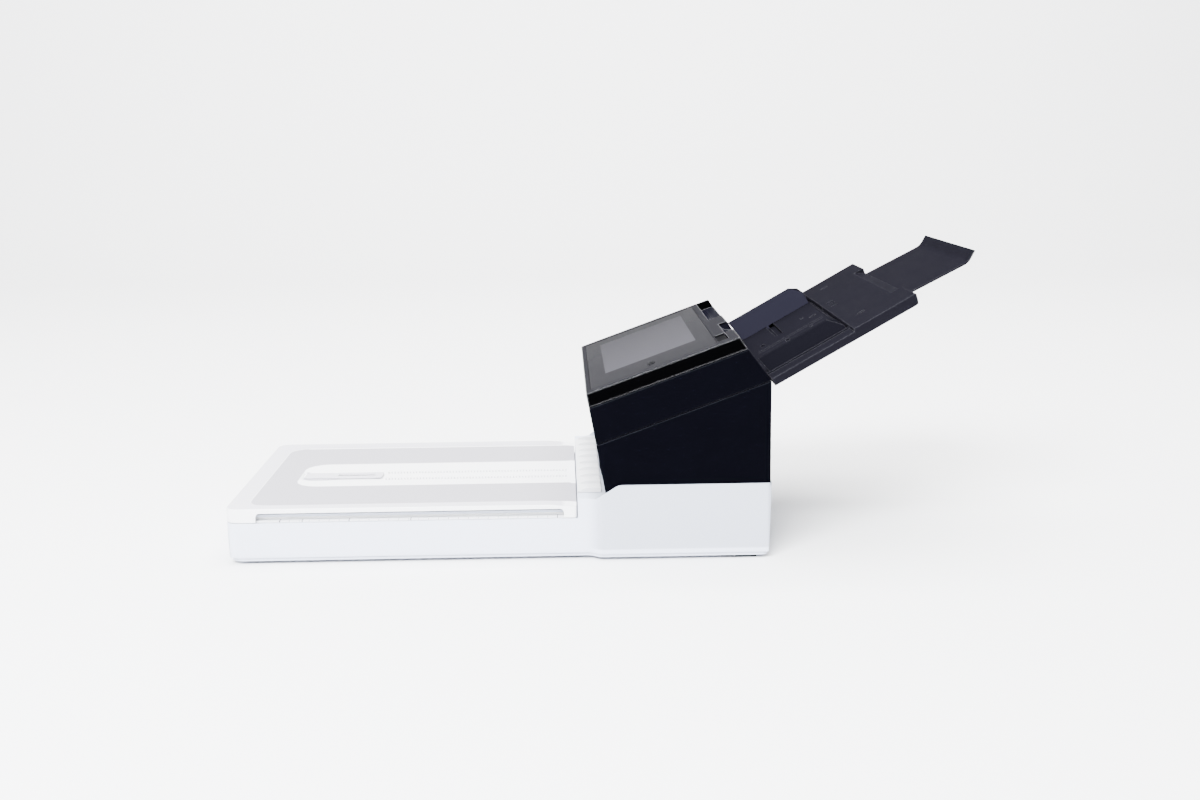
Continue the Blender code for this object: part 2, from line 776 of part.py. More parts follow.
def make_base_housing(root):
    base = prism(base_plan(0), "Z", BASE_LIFT, REAR_HEIGHT, root)
    over = FRONT_LENGTH + OVERRUN
    side = REAR_HALF + OVERRUN
    step = [(-over, FRONT_HEIGHT), (DECK_START, FRONT_HEIGHT), (DECK_START, DECK_HEIGHT)]
    above = prism(step + shoulder(0, 0)[1:-3] + [
        (SHOULDER_END + SHOULDER_RADIUS, REAR_HEIGHT),
        (SHOULDER_END + SHOULDER_RADIUS, REAR_HEIGHT + OVERRUN),
        (-over, REAR_HEIGHT + OVERRUN),
    ], "X", -side, side, root)
    front_lean = prism([
        (-over, 0), (-FRONT_LENGTH + FRONT_LEAN, 0),
        (-FRONT_LENGTH + FRONT_LEAN, BASE_LIFT), (-FRONT_LENGTH, FRONT_HEIGHT),
        (-over, FRONT_HEIGHT),
    ], "X", -side, side, root)
    rear_lean = prism([
        (REAR_LENGTH, REAR_HEIGHT), (REAR_LENGTH - REAR_LEAN, BASE_LIFT),
        (REAR_LENGTH - REAR_LEAN, 0), (REAR_LENGTH + OVERRUN, 0),
        (REAR_LENGTH + OVERRUN, REAR_HEIGHT),
    ], "X", -side, side, root)
    cut(base, above, front_lean, rear_lean)
    round_edges(base, EDGE_ROUND, BEND_STEPS, CREASE)

    well_half = FRONT_HALF - BASE_WALL
    well = prism(rectangle(-well_half, -FRONT_LENGTH + FRONT_LEAN + BASE_WALL, well_half, WELL_REAR,
                           FRONT_CORNER - BASE_WALL),
                 "Z", 0, LEDGE_HEIGHT - LEDGE_THICKNESS, root)
    mouth = prism(rectangle(FRAME_FAR + LEDGE_WIDTH, FRAME_FRONT + LEDGE_WIDTH,
                            FRAME_NEAR - LEDGE_WIDTH, FRAME_REAR - LEDGE_WIDTH),
                  "Z", LEDGE_HEIGHT - LEDGE_THICKNESS - OVERRUN, FRONT_HEIGHT, root)
    pocket = prism(rectangle(FRAME_FAR - GAP, FRAME_FRONT - GAP, FRAME_NEAR + GAP, FRAME_REAR + GAP,
                             FRONT_CORNER - FRAME_MARGIN_NEAR),
                   "Z", LEDGE_HEIGHT, FRONT_HEIGHT + OVERRUN, root)
    cavity = prism(base_plan(REAR_WALL, rear=REAR_LENGTH - REAR_LEAN), "Z", 0, DECK_UNDER, root)
    keep_front = box((-side, -over, -OVERRUN), (side, CAVITY_FRONT, DECK_HEIGHT), root)
    cut(cavity, keep_front)
    inner = FEEDER_HALF - LAP_DEPTH / 2
    bay = prism(rectangle(-inner, face_y(DECK_HEIGHT), inner, FEEDER_REAR - LAP_DEPTH / 2),
                "Z", DECK_HEIGHT, REAR_HEIGHT + OVERRUN, root)
    lap = prism(lap_outline(), "X", -FEEDER_HALF - GAP, FEEDER_HALF + GAP, root)
    apron = prism(rectangle(-inner, DECK_START - OVERRUN, inner, face_y(DECK_HEIGHT) + OVERRUN),
                  "Z", DECK_HEIGHT, REAR_HEIGHT + OVERRUN, root)
    cut(base, well, mouth, pocket, cavity, bay, lap, apron)
    sockets = []
    floor = BOARD_HEIGHT + BOARD_THICKNESS
    for x, width, height in port_places():
        sockets.append(box((x - width / 2 - PORT_GAP, REAR_LENGTH - REAR_LEAN - REAR_WALL - OVERRUN, floor),
                           (x + width / 2 + PORT_GAP, REAR_LENGTH + OVERRUN, floor + height + GAP + PORT_GAP),
                           root))
    cut(base, *sockets)
    return keep(base, "white_shell", "base_housing")


def make_bottom_plate(root):
    plate = prism(base_plan(PLATE_INSET, -FRONT_LENGTH + FRONT_LEAN, REAR_LENGTH - REAR_LEAN),
                  "Z", PLATE_BOTTOM, PLATE_TOP, root)
    posts = []
    board_rear = board_end()
    for x in (BOARD_FAR + POST_INSET, BOARD_NEAR - POST_INSET):
        for y in (BOARD_FRONT + POST_INSET, board_rear - POST_INSET - USB_DEPTH):
            posts.append(rod(POST_RADIUS, PLATE_TOP - PLATE_THICKNESS / 2, BOARD_HEIGHT - GAP, root, (x, y, 0),
                             steps=10))
    join(plate, *posts, *pulley_cheeks(root))
    return keep(plate, "white_shell", "bottom_plate")


def pulley_cheeks(root):
    """Upright plates on both sides of each belt pulley, with a hole for its shaft."""
    cheeks = []
    inner = BELT_WIDTH / 2 + GAP + PULLEY_FLANGE + GAP
    for y in (DRIVE_PULLEY_Y, IDLER_PULLEY_Y):
        low = PLATE_TOP - PLATE_THICKNESS / 2
        top = DRIVE_HEIGHT + CHEEK_HALF
        outer = fillet([(y - CHEEK_HALF, low), (y + CHEEK_HALF, low), (y + CHEEK_HALF, top, CHEEK_HALF),
                        (y - CHEEK_HALF, top, CHEEK_HALF)])
        hole = circle(y, DRIVE_HEIGHT, SHAFT_RADIUS + GAP, TURN_STEPS // 2)
        for x in (BELT_X - inner - CHEEK_THICKNESS, BELT_X + inner):
            cheeks.append(prism([outer, hole], "X", x, x + CHEEK_THICKNESS, root))
    return cheeks


def board_end():
    return REAR_LENGTH - REAR_LEAN - REAR_WALL - BOARD_FROM_WALL


def make_feet(root):
    side = FRONT_HALF - FOOT_FROM_SIDE
    front = -FRONT_LENGTH + FOOT_FROM_FRONT
    top = PLATE_BOTTOM - GAP
    for name, x in (("foot_front_left", -side), ("foot_front_right", side)):
        foot = turned([(0, top), (FOOT_RADIUS, top), (FOOT_RADIUS, PAD_RISE),
                       (FOOT_RADIUS - PAD_RISE, 0), (0, 0)], root, (x, front, 0))
        keep(foot, "rubber", name)
    rear = REAR_LENGTH - PAD_FROM_REAR
    start = rear - PAD_LENGTH
    outline = [(start, PAD_RISE), (start + PAD_STEP, PAD_RISE), (start + PAD_STEP, 0), (rear, 0),
               (rear, top), (start, top)]
    near = REAR_HALF - PAD_FROM_SIDE
    for name, low in (("foot_rear_left", -near), ("foot_rear_right", near - PAD_WIDTH)):
        keep(prism(outline, "X", low, low + PAD_WIDTH, root), "rubber", name)


def make_glass(root):
    under = GLASS_TOP - FRAME_LIP
    border = prism([rectangle(FRAME_FAR, FRAME_FRONT, FRAME_NEAR, FRAME_REAR,
                              FRONT_CORNER - FRAME_MARGIN_NEAR - GAP),
                    rectangle(WINDOW_FAR, WINDOW_FRONT, WINDOW_NEAR, WINDOW_REAR)],
                   "Z", FRAME_BOTTOM, GLASS_TOP, root)
    low = (WINDOW_FAR - GLASS_REST, WINDOW_FRONT - GLASS_REST)
    high = (WINDOW_NEAR + GLASS_REST, WINDOW_REAR + GLASS_REST)
    rebate = box((low[0] - GAP, low[1] - GAP, 0), (high[0] + GAP, high[1] + GAP, under), root)
    cut(border, rebate)
    keep(border, "lid_shell", "glass_frame")
    pane = box((*low, under - GAP - GLASS_THICKNESS), (*high, under - GAP), root)
    keep(pane, "glass_clear", "platen_glass")


def belt_loop(first, second, radius, thickness):
    """Outer and inner outline of a flat belt round two wheels of one radius, in a plane."""
    first = Vector(first)
    second = Vector(second)
    along = (second - first).normalized()
    bearing = math.atan2(along.y, along.x)
    loops = []
    for reach in (radius + thickness, radius):
        loop = []
        for centre, start in ((second, bearing - math.pi / 2), (first, bearing + math.pi / 2)):
            for step in range(TURN_STEPS // 2 + 1):
                turn = start + math.pi * step / (TURN_STEPS // 2)
                loop.append((centre.x + reach * math.cos(turn), centre.y + reach * math.sin(turn)))
        loops.append(loop)
    return loops


def make_carriage(carriage_frame):
    far = WINDOW_FAR - CARRIAGE_OVER
    near = WINDOW_NEAR + CARRIAGE_OVER
    half = CARRIAGE_LENGTH / 2
    body = prism(fillet([(-half, CARRIAGE_BOTTOM, EDGE_ROUND), (half, CARRIAGE_BOTTOM, EDGE_ROUND),
                         (half, CARRIAGE_TOP, EDGE_ROUND), (-half, CARRIAGE_TOP, EDGE_ROUND)], 2),
                 "X", far, near, carriage_frame)
    wall = CARRIAGE_OVER
    trough = prism(rectangle(far + wall, -half + wall, near - wall, half - wall), "Z",
                   DRIVE_HEIGHT + ROD_RADIUS + wall, CARRIAGE_TOP + OVERRUN, carriage_frame)
    bearing = rod(ROD_RADIUS + ROD_CLEAR, -CARRIAGE_LENGTH, CARRIAGE_LENGTH, carriage_frame,
                  (ROD_X, 0, DRIVE_HEIGHT), "Y")
    arm_top = DRIVE_HEIGHT + PULLEY_RADIUS + BELT_THICKNESS + GAP + ARM_THICKNESS
    arm = box((BELT_X - BELT_WIDTH / 2, -ARM_WIDTH / 2, arm_top - ARM_THICKNESS),
              (far + wall / 2, ARM_WIDTH / 2, arm_top), carriage_frame)
    cut(body, trough, bearing)
    join(body, arm)
    keep(body, "black_shell", "carriage")
    inner = half - wall - GAP
    sensor = box((far + wall + GAP, inner - SENSOR_WIDTH, DRIVE_HEIGHT + ROD_RADIUS + wall + GAP),
                 (near - wall - GAP, inner, SENSOR_HEIGHT), carriage_frame)
    lens = prism(rectangle(far + wall + CARRIAGE_OVER, inner - SENSOR_WIDTH / 2 - EDGE_ROUND,
                           near - wall - CARRIAGE_OVER, inner - SENSOR_WIDTH / 2 + EDGE_ROUND),
                 "Z", SENSOR_HEIGHT - EDGE_ROUND / 2, SENSOR_HEIGHT + OVERRUN, carriage_frame)
    cut(sensor, lens)
    keep(sensor, "dark_grey", "carriage_sensor")


def make_carriage_drive(root, drive_frame, idler_frame):
    ends = (-FRONT_LENGTH + FRONT_LEAN + BASE_WALL + GAP, WELL_REAR - GAP)
    bar = rod(ROD_RADIUS, -ends[1], -ends[0], root, (ROD_X, 0, DRIVE_HEIGHT), "Y")
    keep(bar, "steel", "carriage_rod")
    low = BELT_X - BELT_WIDTH / 2
    high = BELT_X + BELT_WIDTH / 2
    belt = prism(belt_loop((DRIVE_PULLEY_Y, DRIVE_HEIGHT), (IDLER_PULLEY_Y, DRIVE_HEIGHT),
                           PULLEY_RADIUS, BELT_THICKNESS), "X", low, high, root)
    keep(belt, "rubber", "carriage_belt")
    groove = PULLEY_RADIUS - GAP
    rim = PULLEY_RADIUS + BELT_THICKNESS
    half = BELT_WIDTH / 2 + GAP
    flange = half + PULLEY_FLANGE
    for name, holder, shaft in (("belt_drive_pulley", drive_frame, flange + OVERRUN),
                                ("belt_idler_pulley", idler_frame, flange + OVERRUN)):
        profile = [(0, shaft), (SHAFT_RADIUS, shaft), (SHAFT_RADIUS, flange), (rim, flange), (rim, half),
                   (groove, half), (groove, -half), (rim, -half), (rim, -flange),
                   (SHAFT_RADIUS, -flange), (SHAFT_RADIUS, -shaft), (0, -shaft)]
        keep(turned(profile, holder, axis="X"), "white_part", name)
    start = BELT_X - flange - OVERRUN - GAP
    middle = (0, DRIVE_PULLEY_Y - MOTOR_RADIUS / 2, PLATE_TOP + GAP + MOTOR_RADIUS)
    case = rod(MOTOR_RADIUS, start - MOTOR_LENGTH, start, root, middle, "X")
    keep(case, "steel", "carriage_motor")


def lid_plan(inset):
    half = FRONT_HALF - inset
    front = max(FRONT_CORNER - inset, BASE_WALL)
    rear = max(EDGE_ROUND * 2 - inset, EDGE_ROUND)
    return fillet([
        (half, -FRONT_LENGTH + inset, front), (half, -LID_LEAN - inset, rear),
        (-half, -LID_LEAN - inset, rear), (-half, -FRONT_LENGTH + inset, front),
    ])


def open_ended(half, front, radius):
    """Plan outline with round front corners that runs out past the lid's rear edge."""
    return fillet([(half, -front, radius), (half, OVERRUN), (-half, OVERRUN), (-half, -front, radius)])


def knuckle_places():
    return (-FRONT_LENGTH + HINGE_FROM_END, -HINGE_FROM_END)


def make_lid_cover(root, lid_frame):
    lid = prism(lid_plan(0), "Z", LID_LIFT, LID_TOP, root)
    round_edges(lid, EDGE_ROUND, BEND_STEPS, CREASE)

    grow = RECESS_SLOPE / RECESS_DEPTH * GAP
    floor_inset = RECESS_INSET + RECESS_SLOPE
    recess = loft(open_ended(FRONT_HALF - floor_inset, FRONT_LENGTH - floor_inset, RECESS_RADIUS),
                  open_ended(FRONT_HALF - RECESS_INSET + grow, FRONT_LENGTH - RECESS_INSET + grow,
                             RECESS_RADIUS + RECESS_SLOPE + grow),
                  RECESS_FLOOR, LID_TOP + GAP, root)
    spread = (GROOVE_HALF - CHANNEL_HALF) / CHANNEL_DEPTH * GAP
    groove = loft(open_ended(CHANNEL_HALF, CHANNEL_FRONT, CHANNEL_HALF / 2),
                  open_ended(GROOVE_HALF + spread, GROOVE_FRONT + GAP, GROOVE_RADIUS),
                  CHANNEL_FLOOR, RECESS_FLOOR + GAP, root)
    channel = prism(rectangle(-CHANNEL_HALF, -STOPPER_REACH - RUN_GAP - STOPPER_PLATE - EAR_LENGTH,
                              CHANNEL_HALF, OVERRUN), "Z", CHANNEL_FLOOR, RECESS_FLOOR + GAP, root)
    side = FRONT_HALF + OVERRUN
    fall = prism([(-FALL_LENGTH, LID_TOP), (0, LID_TOP - FALL_DEPTH), (OVERRUN, LID_TOP - FALL_DEPTH),
                  (OVERRUN, LID_TOP + OVERRUN), (-FALL_LENGTH, LID_TOP + OVERRUN)], "X", -side, side, root)
    cut(lid, recess)
    cut(lid, groove, channel, fall)

    low = LID_LIFT - OVERRUN
    hollow = prism(lid_plan(LID_WALL), "Z", low, CHANNEL_FLOOR - LID_SHEET, root)
    inner = FRONT_HALF - LID_WALL - EDGE_ROUND
    lofts = []
    for x_low, x_high in ((-inner, -GROOVE_HALF), (GROOVE_HALF, inner)):
        lofts.append(prism(rectangle(x_low, -FRONT_LENGTH + RECESS_INSET + RECESS_SLOPE, x_high,
                                     -LID_LEAN - LID_WALL - EDGE_ROUND, RECESS_SLOPE),
                           "Z", low, RECESS_FLOOR - LID_SHEET, root))
    window = prism(fillet([(-CUTOUT_FRONT, low), (-CUTOUT_REAR, low),
                           (-CUTOUT_REAR, LID_LIFT + CUTOUT_HEIGHT, CUTOUT_RADIUS),
                           (-CUTOUT_FRONT, LID_LIFT + CUTOUT_HEIGHT, CUTOUT_RADIUS)]),
                   "X", inner - LID_WALL, side, root)
    relief = box((-side, -FRONT_LENGTH - OVERRUN, low), (LID_HINGE_X + GAP, OVERRUN, LID_LIFT + LID_RELIEF), root)
    cut(lid, hollow, *lofts, window, relief)

    eyes = []
    holes = []
    reach = KNUCKLE_LENGTH / 2 + RUN_GAP
    round_half = KNUCKLE_RADIUS + GAP / 2
    top = CHANNEL_FLOOR - LID_SHEET + GAP
    outline = fillet([(LID_HINGE_X - round_half, LID_HINGE_Z - round_half, round_half),
                      (LID_HINGE_X + round_half, LID_HINGE_Z - round_half, round_half),
                      (LID_HINGE_X + round_half, top), (LID_HINGE_X - round_half, top)])
    for y in knuckle_places():
        for start in (y - reach - EYE_LENGTH, y + reach):
            eyes.append(prism(outline, "Y", start, start + EYE_LENGTH, root))
        holes.append(rod(KNUCKLE_PIN + GAP, -y - reach - KNUCKLE_PIN_REACH - RUN_GAP,
                         -y + reach + KNUCKLE_PIN_REACH + RUN_GAP, root, (LID_HINGE_X, 0, LID_HINGE_Z),
                         "Y", SMALL_STEPS))
    join(lid, *eyes)
    cut(lid, *holes)
    keep(lid, "lid_shell", "lid_cover", lid_frame)


def make_lid_inside(root, lid_frame):
    margin = LID_WALL + LINER_MARGIN
    liner = prism(rectangle(-FRONT_HALF + margin, -FRONT_LENGTH + margin, FRONT_HALF - margin, -margin,
                            LINER_MARGIN * 2), "Z", LINER_BOTTOM, LINER_TOP, root)
    keep(liner, "white_shell", "lid_liner", lid_frame)
    mat = prism(rectangle(-FRONT_HALF + MAT_FAR, -FRONT_LENGTH + MAT_END, FRONT_HALF - MAT_NEAR, -MAT_END,
                          LINER_MARGIN), "Z", MAT_BOTTOM, MAT_TOP, root)
    keep(mat, "mat_white", "lid_mat", lid_frame)


def make_lid_hinges(root):
    low = FRONT_HEIGHT + GAP
    outline = fillet([(LID_HINGE_X - KNUCKLE_RADIUS, low), (LID_HINGE_X + KNUCKLE_RADIUS, low),
                      (LID_HINGE_X + KNUCKLE_RADIUS, LID_HINGE_Z + KNUCKLE_RADIUS, KNUCKLE_RADIUS),
                      (LID_HINGE_X - KNUCKLE_RADIUS, LID_HINGE_Z + KNUCKLE_RADIUS, KNUCKLE_RADIUS)])
    half = KNUCKLE_LENGTH / 2
    for name, y in zip(("lid_hinge_front", "lid_hinge_rear"), knuckle_places()):
        block = prism(outline, "Y", y - half, y + half, root)
        pin = rod(KNUCKLE_PIN, -y - half - KNUCKLE_PIN_REACH, -y + half + KNUCKLE_PIN_REACH, root,
                  (LID_HINGE_X, 0, LID_HINGE_Z), "Y", SMALL_STEPS)
        join(block, pin)
        keep(block, "mid_grey", name)


def stopper_axis():
    """Height of the flap's hinge over the channel floor."""
    return CHANNEL_FLOOR + GAP + STOPPER_PLATE + GAP + FLAP_BARREL


def make_stopper(root, slide_frame, flap_frame):
    low = CHANNEL_FLOOR + GAP
    front = -STOPPER_REACH
    half = STOPPER_HALF
    plate = prism(rectangle(-half, front - EAR_LENGTH / 2, half, front + STOPPER_LENGTH, EDGE_ROUND),
                  "Z", low, low + STOPPER_PLATE, root)
    ears = []
    height = stopper_axis()
    bore = circle(front, height, FLAP_BARREL + GAP, SMALL_STEPS)
    outline = fillet([(front - EAR_LENGTH / 2, low), (front + EAR_LENGTH / 2, low),
                      (front + EAR_LENGTH / 2, low + EAR_HEIGHT, EDGE_ROUND),
                      (front - EAR_LENGTH / 2, low + EAR_HEIGHT, EDGE_ROUND)])
    for x in (-half, half - EAR_THICKNESS):
        ears.append(prism([outline, bore], "X", x, x + EAR_THICKNESS, root))
    join(plate, *ears)
    keep(plate, "mid_grey", "stopper_slider", slide_frame)
    blade_half = half - EAR_THICKNESS - RUN_GAP
    bottom = height - FLAP_BARREL
    blade = prism(rectangle(-blade_half, front, blade_half, front + FLAP_LENGTH, EDGE_ROUND * 2),
                  "Z", bottom + GAP / 2, bottom + GAP / 2 + FLAP_THICKNESS, root)
    window = prism(rectangle(-blade_half / 2, front + FLAP_LENGTH * FLAP_WINDOW_START_SHARE, blade_half / 2,
                             front + FLAP_LENGTH * FLAP_WINDOW_END_SHARE, EDGE_ROUND),
                   "Z", bottom - GAP, height + OVERRUN, root)
    cut(blade, window)
    barrel = rod(FLAP_BARREL, -half, half, root, (0, front, height), "X", SMALL_STEPS)
    join(blade, barrel)
    keep(blade, "mid_grey", "stopper_flap", flap_frame)


def make_exit_ribs(root):
    low = DECK_HEIGHT + GAP
    start = DECK_START + GAP
    span = RIB_PITCH * (RIB_COUNT - 1) / 2 + RIB_THICKNESS
    strip = box((-span, start, low), (span, start + RIB_LENGTH, low + RIB_STRIP), root)
    ribs = []
    for index in range(RIB_COUNT):
        x = (index - (RIB_COUNT - 1) / 2) * RIB_PITCH
        outline = fillet([(start, low), (start + RIB_LENGTH, low), (start + RIB_LENGTH, low + RIB_REAR_RISE),
                          (start + RIB_LENGTH * RIB_KNEE_SHARE, low + RIB_REAR_RISE, RIB_REAR_RISE),
                          (start, low + RIB_FRONT_RISE, RIB_FRONT_RISE / 2)])
        ribs.append(prism(outline, "X", x - RIB_THICKNESS / 2, x + RIB_THICKNESS / 2, root))
    join(strip, *ribs)
    keep(strip, "white_shell", "exit_ribs")


def make_electronics(root):
    rear = board_end()
    top = BOARD_HEIGHT + BOARD_THICKNESS
    board = box((BOARD_FAR, BOARD_FRONT, BOARD_HEIGHT), (BOARD_NEAR, rear, top), root)
    keep(board, "board_green", "main_board")
    low = top + GAP
    face = rear + BOARD_FROM_WALL + REAR_WALL / 2
    inlet = box((INLET_X - INLET_WIDTH / 2, face - INLET_DEPTH, low),
                (INLET_X + INLET_WIDTH / 2, face, low + INLET_HEIGHT), root)
    middle = low + INLET_HEIGHT / 2
    cut(inlet, rod(INLET_BORE, -face - OVERRUN, -face + INLET_DEPTH * PORT_DEPTH_SHARE, root,
                   (INLET_X, 0, middle), "Y", SMALL_STEPS))
    join(inlet, rod(INLET_PIN, -face + EDGE_ROUND, -face + INLET_DEPTH * PORT_DEPTH_SHARE + GAP, root,
                    (INLET_X, 0, middle), "Y", INLET_PIN_STEPS))
    keep(inlet, "black_shell", "power_inlet")
    ports = (("usb_port", USB_X, USB_WIDTH, USB_HEIGHT, USB_DEPTH),
             ("lan_port", LAN_X, LAN_WIDTH, LAN_HEIGHT, LAN_DEPTH))
    for name, x, width, height, depth in ports:
        shell = box((x - width / 2, face - depth, low), (x + width / 2, face, low + height), root)
        back = face - depth * PORT_DEPTH_SHARE
        mouth = box((x - width / 2 + PORT_WALL, back, low + PORT_WALL),
                    (x + width / 2 - PORT_WALL, face + OVERRUN, low + height - PORT_WALL), root)
        cut(shell, mouth)
        tongue = box((x - width / 4, back - GAP, low + height / 2 - TONGUE_THICKNESS / 2),
                     (x + width / 4, face - EDGE_ROUND, low + height / 2 + TONGUE_THICKNESS / 2), root)
        join(shell, tongue)
        keep(shell, "steel", name)


def panel_point(s, t):
    """World (Y, Z) of a point in the panel's frame."""
    return (PANEL_FRONT_Y + s * math.cos(PANEL_SLOPE) - t * math.sin(PANEL_SLOPE),
            PANEL_FRONT_Z + s * math.sin(PANEL_SLOPE) + t * math.cos(PANEL_SLOPE))


def panel_spot(y, z):
    """Panel (S, T) of a world point."""
    y -= PANEL_FRONT_Y
    z -= PANEL_FRONT_Z
    return (y * math.cos(PANEL_SLOPE) + z * math.sin(PANEL_SLOPE),
            z * math.cos(PANEL_SLOPE) - y * math.sin(PANEL_SLOPE))


def face_s(t):
    """Place of the leaning front face at a depth under the panel."""
    along = FACE_SLOPE * math.cos(PANEL_SLOPE) - math.sin(PANEL_SLOPE)
    down = FACE_SLOPE * math.sin(PANEL_SLOPE) + math.cos(PANEL_SLOPE)
    return t * along / -down


def rear_s(t):
    """Place of the vertical rear plane at a depth under the panel."""
    return (FEEDER_REAR - PANEL_FRONT_Y + t * math.sin(PANEL_SLOPE)) / math.cos(PANEL_SLOPE)


def path_point(u, w):
    """World (Y, Z) of a point in the paper path's frame."""
    return (PATH_Y - u * math.cos(PATH_SLOPE) - w * math.sin(PATH_SLOPE),
            PATH_Z - u * math.sin(PATH_SLOPE) + w * math.cos(PATH_SLOPE))


def feeder_outline():
    seam = -SEAM_DEPTH - GAP
    front_top = panel_point(face_s(seam), seam)
    rear_top = panel_point(rear_s(seam), seam)
    foot = DECK_HEIGHT - LAP_DEPTH + GAP
    top = REAR_HEIGHT - LAP_DEPTH + GAP
    slope = (top - foot) / (SHOULDER_END - SHOULDER_START)
    start = face_y(FACE_FOOT_Z)
    return fillet([
        (start, foot + (start - SHOULDER_START) * slope),
        (SHOULDER_END, top, SHOULDER_RADIUS),
        (FEEDER_REAR, top), rear_top, front_top,
    ])


def make_feeder_housing(root, tray):
    shell = prism(feeder_outline(), "X", -FEEDER_HALF, FEEDER_HALF, root)
    round_edges(shell, EDGE_ROUND, BEND_STEPS, SQUARE_CREASE)
    inside = FEEDER_HALF - FEEDER_WALL
    high = PANEL_FRONT_Z + SEAM_DEPTH
    hollow = prism([(face_y(0) + FEEDER_WALL, 0), (FEEDER_REAR - FEEDER_WALL, 0),
                    (FEEDER_REAR - FEEDER_WALL, high), (face_y(high) + FEEDER_WALL, high)],
                   "X", -inside, inside, root)
    lip_top = DECK_HEIGHT + LIP_HEIGHT
    mouth = prism([(face_y(lip_top) - OVERRUN, lip_top), (face_y(lip_top) + FEEDER_WALL + OVERRUN, lip_top),
                   (face_y(lip_top) + FEEDER_WALL + OVERRUN, high), (0, high)], "X", -inside, inside, root)
    cut(shell, hollow, mouth)
    low = DECK_HEIGHT + GAP
    apron_half = FEEDER_HALF - LAP_DEPTH / 2 - GAP
    lip = prism([(face_y(low), low), (face_y(low) + FEEDER_WALL, low),
                 (face_y(lip_top) + FEEDER_WALL, lip_top), (face_y(lip_top), lip_top)],
                "X", -apron_half, apron_half, root)
    bosses = []
    bores = []
    outer = inside + FEEDER_WALL / 2
    for side in (-1, 1):
        low, high = sorted((side * (inside - BOSS_LENGTH), side * outer))
        bosses.append(rod(BOSS_RADIUS, low, high, root, (0, HINGE_Y, HINGE_Z), "X"))
        low, high = sorted((side * (inside - BOSS_LENGTH - OVERRUN), side * outer))
        bores.append(rod(PIN_RADIUS + GAP, low, high, root, (0, HINGE_Y, HINGE_Z), "X", AXLE_STEPS))
    join(shell, lip, *bosses)
    slots = []
    for x in (-LUG_X, LUG_X):
        slots.append(box((x - LUG_HALF - GAP, -LUG_REACH - OVERRUN, -TRAY_UNDER - GAP),
                         (x + LUG_HALF + GAP, 0, LUG_RISE - TRAY_UNDER + GAP), tray))
    cut(shell, *bores, *slots)
    keep(shell, "black_shell", "adf_housing")
    end = outer - GAP
    for name, start in (("cover_pin_left", -end), ("cover_pin_right", end - PIN_REACH)):
        pin = rod(PIN_RADIUS, start, start + PIN_REACH, root, (0, HINGE_Y, HINGE_Z), "X", AXLE_STEPS)
        keep(pin, "steel", name)


ROLLER_RADII = {
    "feed": FEED_RADIUS,
    "transport": TRANSPORT_RADIUS,
    "exit": TRANSPORT_RADIUS,
    "part": PART_RADIUS,
    "transport_idle": IDLER_RADIUS,
    "exit_idle": IDLER_RADIUS,
}
ROLLER_PLACES = {
    "feed": (FEED_U, -FEED_RADIUS),
    "transport": (TRANSPORT_U, -TRANSPORT_RADIUS),
    "exit": (EXIT_U, -TRANSPORT_RADIUS),
    "part": (FEED_U, PART_RADIUS + NIP_GAP),
    "transport_idle": (TRANSPORT_U, IDLER_RADIUS + NIP_GAP),
    "exit_idle": (EXIT_U, IDLER_RADIUS + NIP_GAP),
}


def make_side_frames(root):
    reach = math.cos(PATH_SLOPE)
    low = DECK_HEIGHT + GAP
    top_front = path_point((PATH_Y - SIDE_FRONT) / reach, -GUIDE_DROP)
    top_rear = path_point((PATH_Y - SIDE_REAR) / reach, -GUIDE_DROP)
    outline = fillet([(SIDE_FRONT, low), (SIDE_REAR, low), (SIDE_REAR, top_rear[1], EDGE_ROUND),
                      (SIDE_FRONT, top_front[1], EDGE_ROUND)])
    window = rectangle(SIDE_FRONT + SIDE_WINDOW, low + SIDE_WINDOW / 2,
                       MOTOR_Y - FEED_MOTOR_RADIUS - SIDE_WINDOW / 2, low + SIDE_WINDOW * 3 / 2,
                       SIDE_WINDOW / 4)
    for name, side in (("side_frame_left", -1), ("side_frame_right", 1)):
        inner = SIDE_PLATE_X
        holes = [window]
        for key in ("feed", "transport", "exit"):
            u, w = ROLLER_PLACES[key]
            holes.append(circle(*path_point(u, w), AXLE_RADIUS + GAP, AXLE_STEPS))
        if side < 0:
            holes.append(circle(MOTOR_Y, MOTOR_Z, AXLE_RADIUS + GAP, AXLE_STEPS))
            plate = prism([outline, *holes], "X", -inner - SIDE_PLATE, -inner, root)
            foot = box((-inner - SIDE_PLATE * 4, SIDE_FRONT, low), (-inner, SIDE_REAR, low + SIDE_PLATE), root)
        else:
            plate = prism([outline, *holes], "X", inner, inner + SIDE_PLATE, root)
            foot = box((inner, SIDE_FRONT, low), (inner + SIDE_PLATE * 4, SIDE_REAR, low + SIDE_PLATE), root)
        join(plate, foot)
        keep(plate, "steel", name)


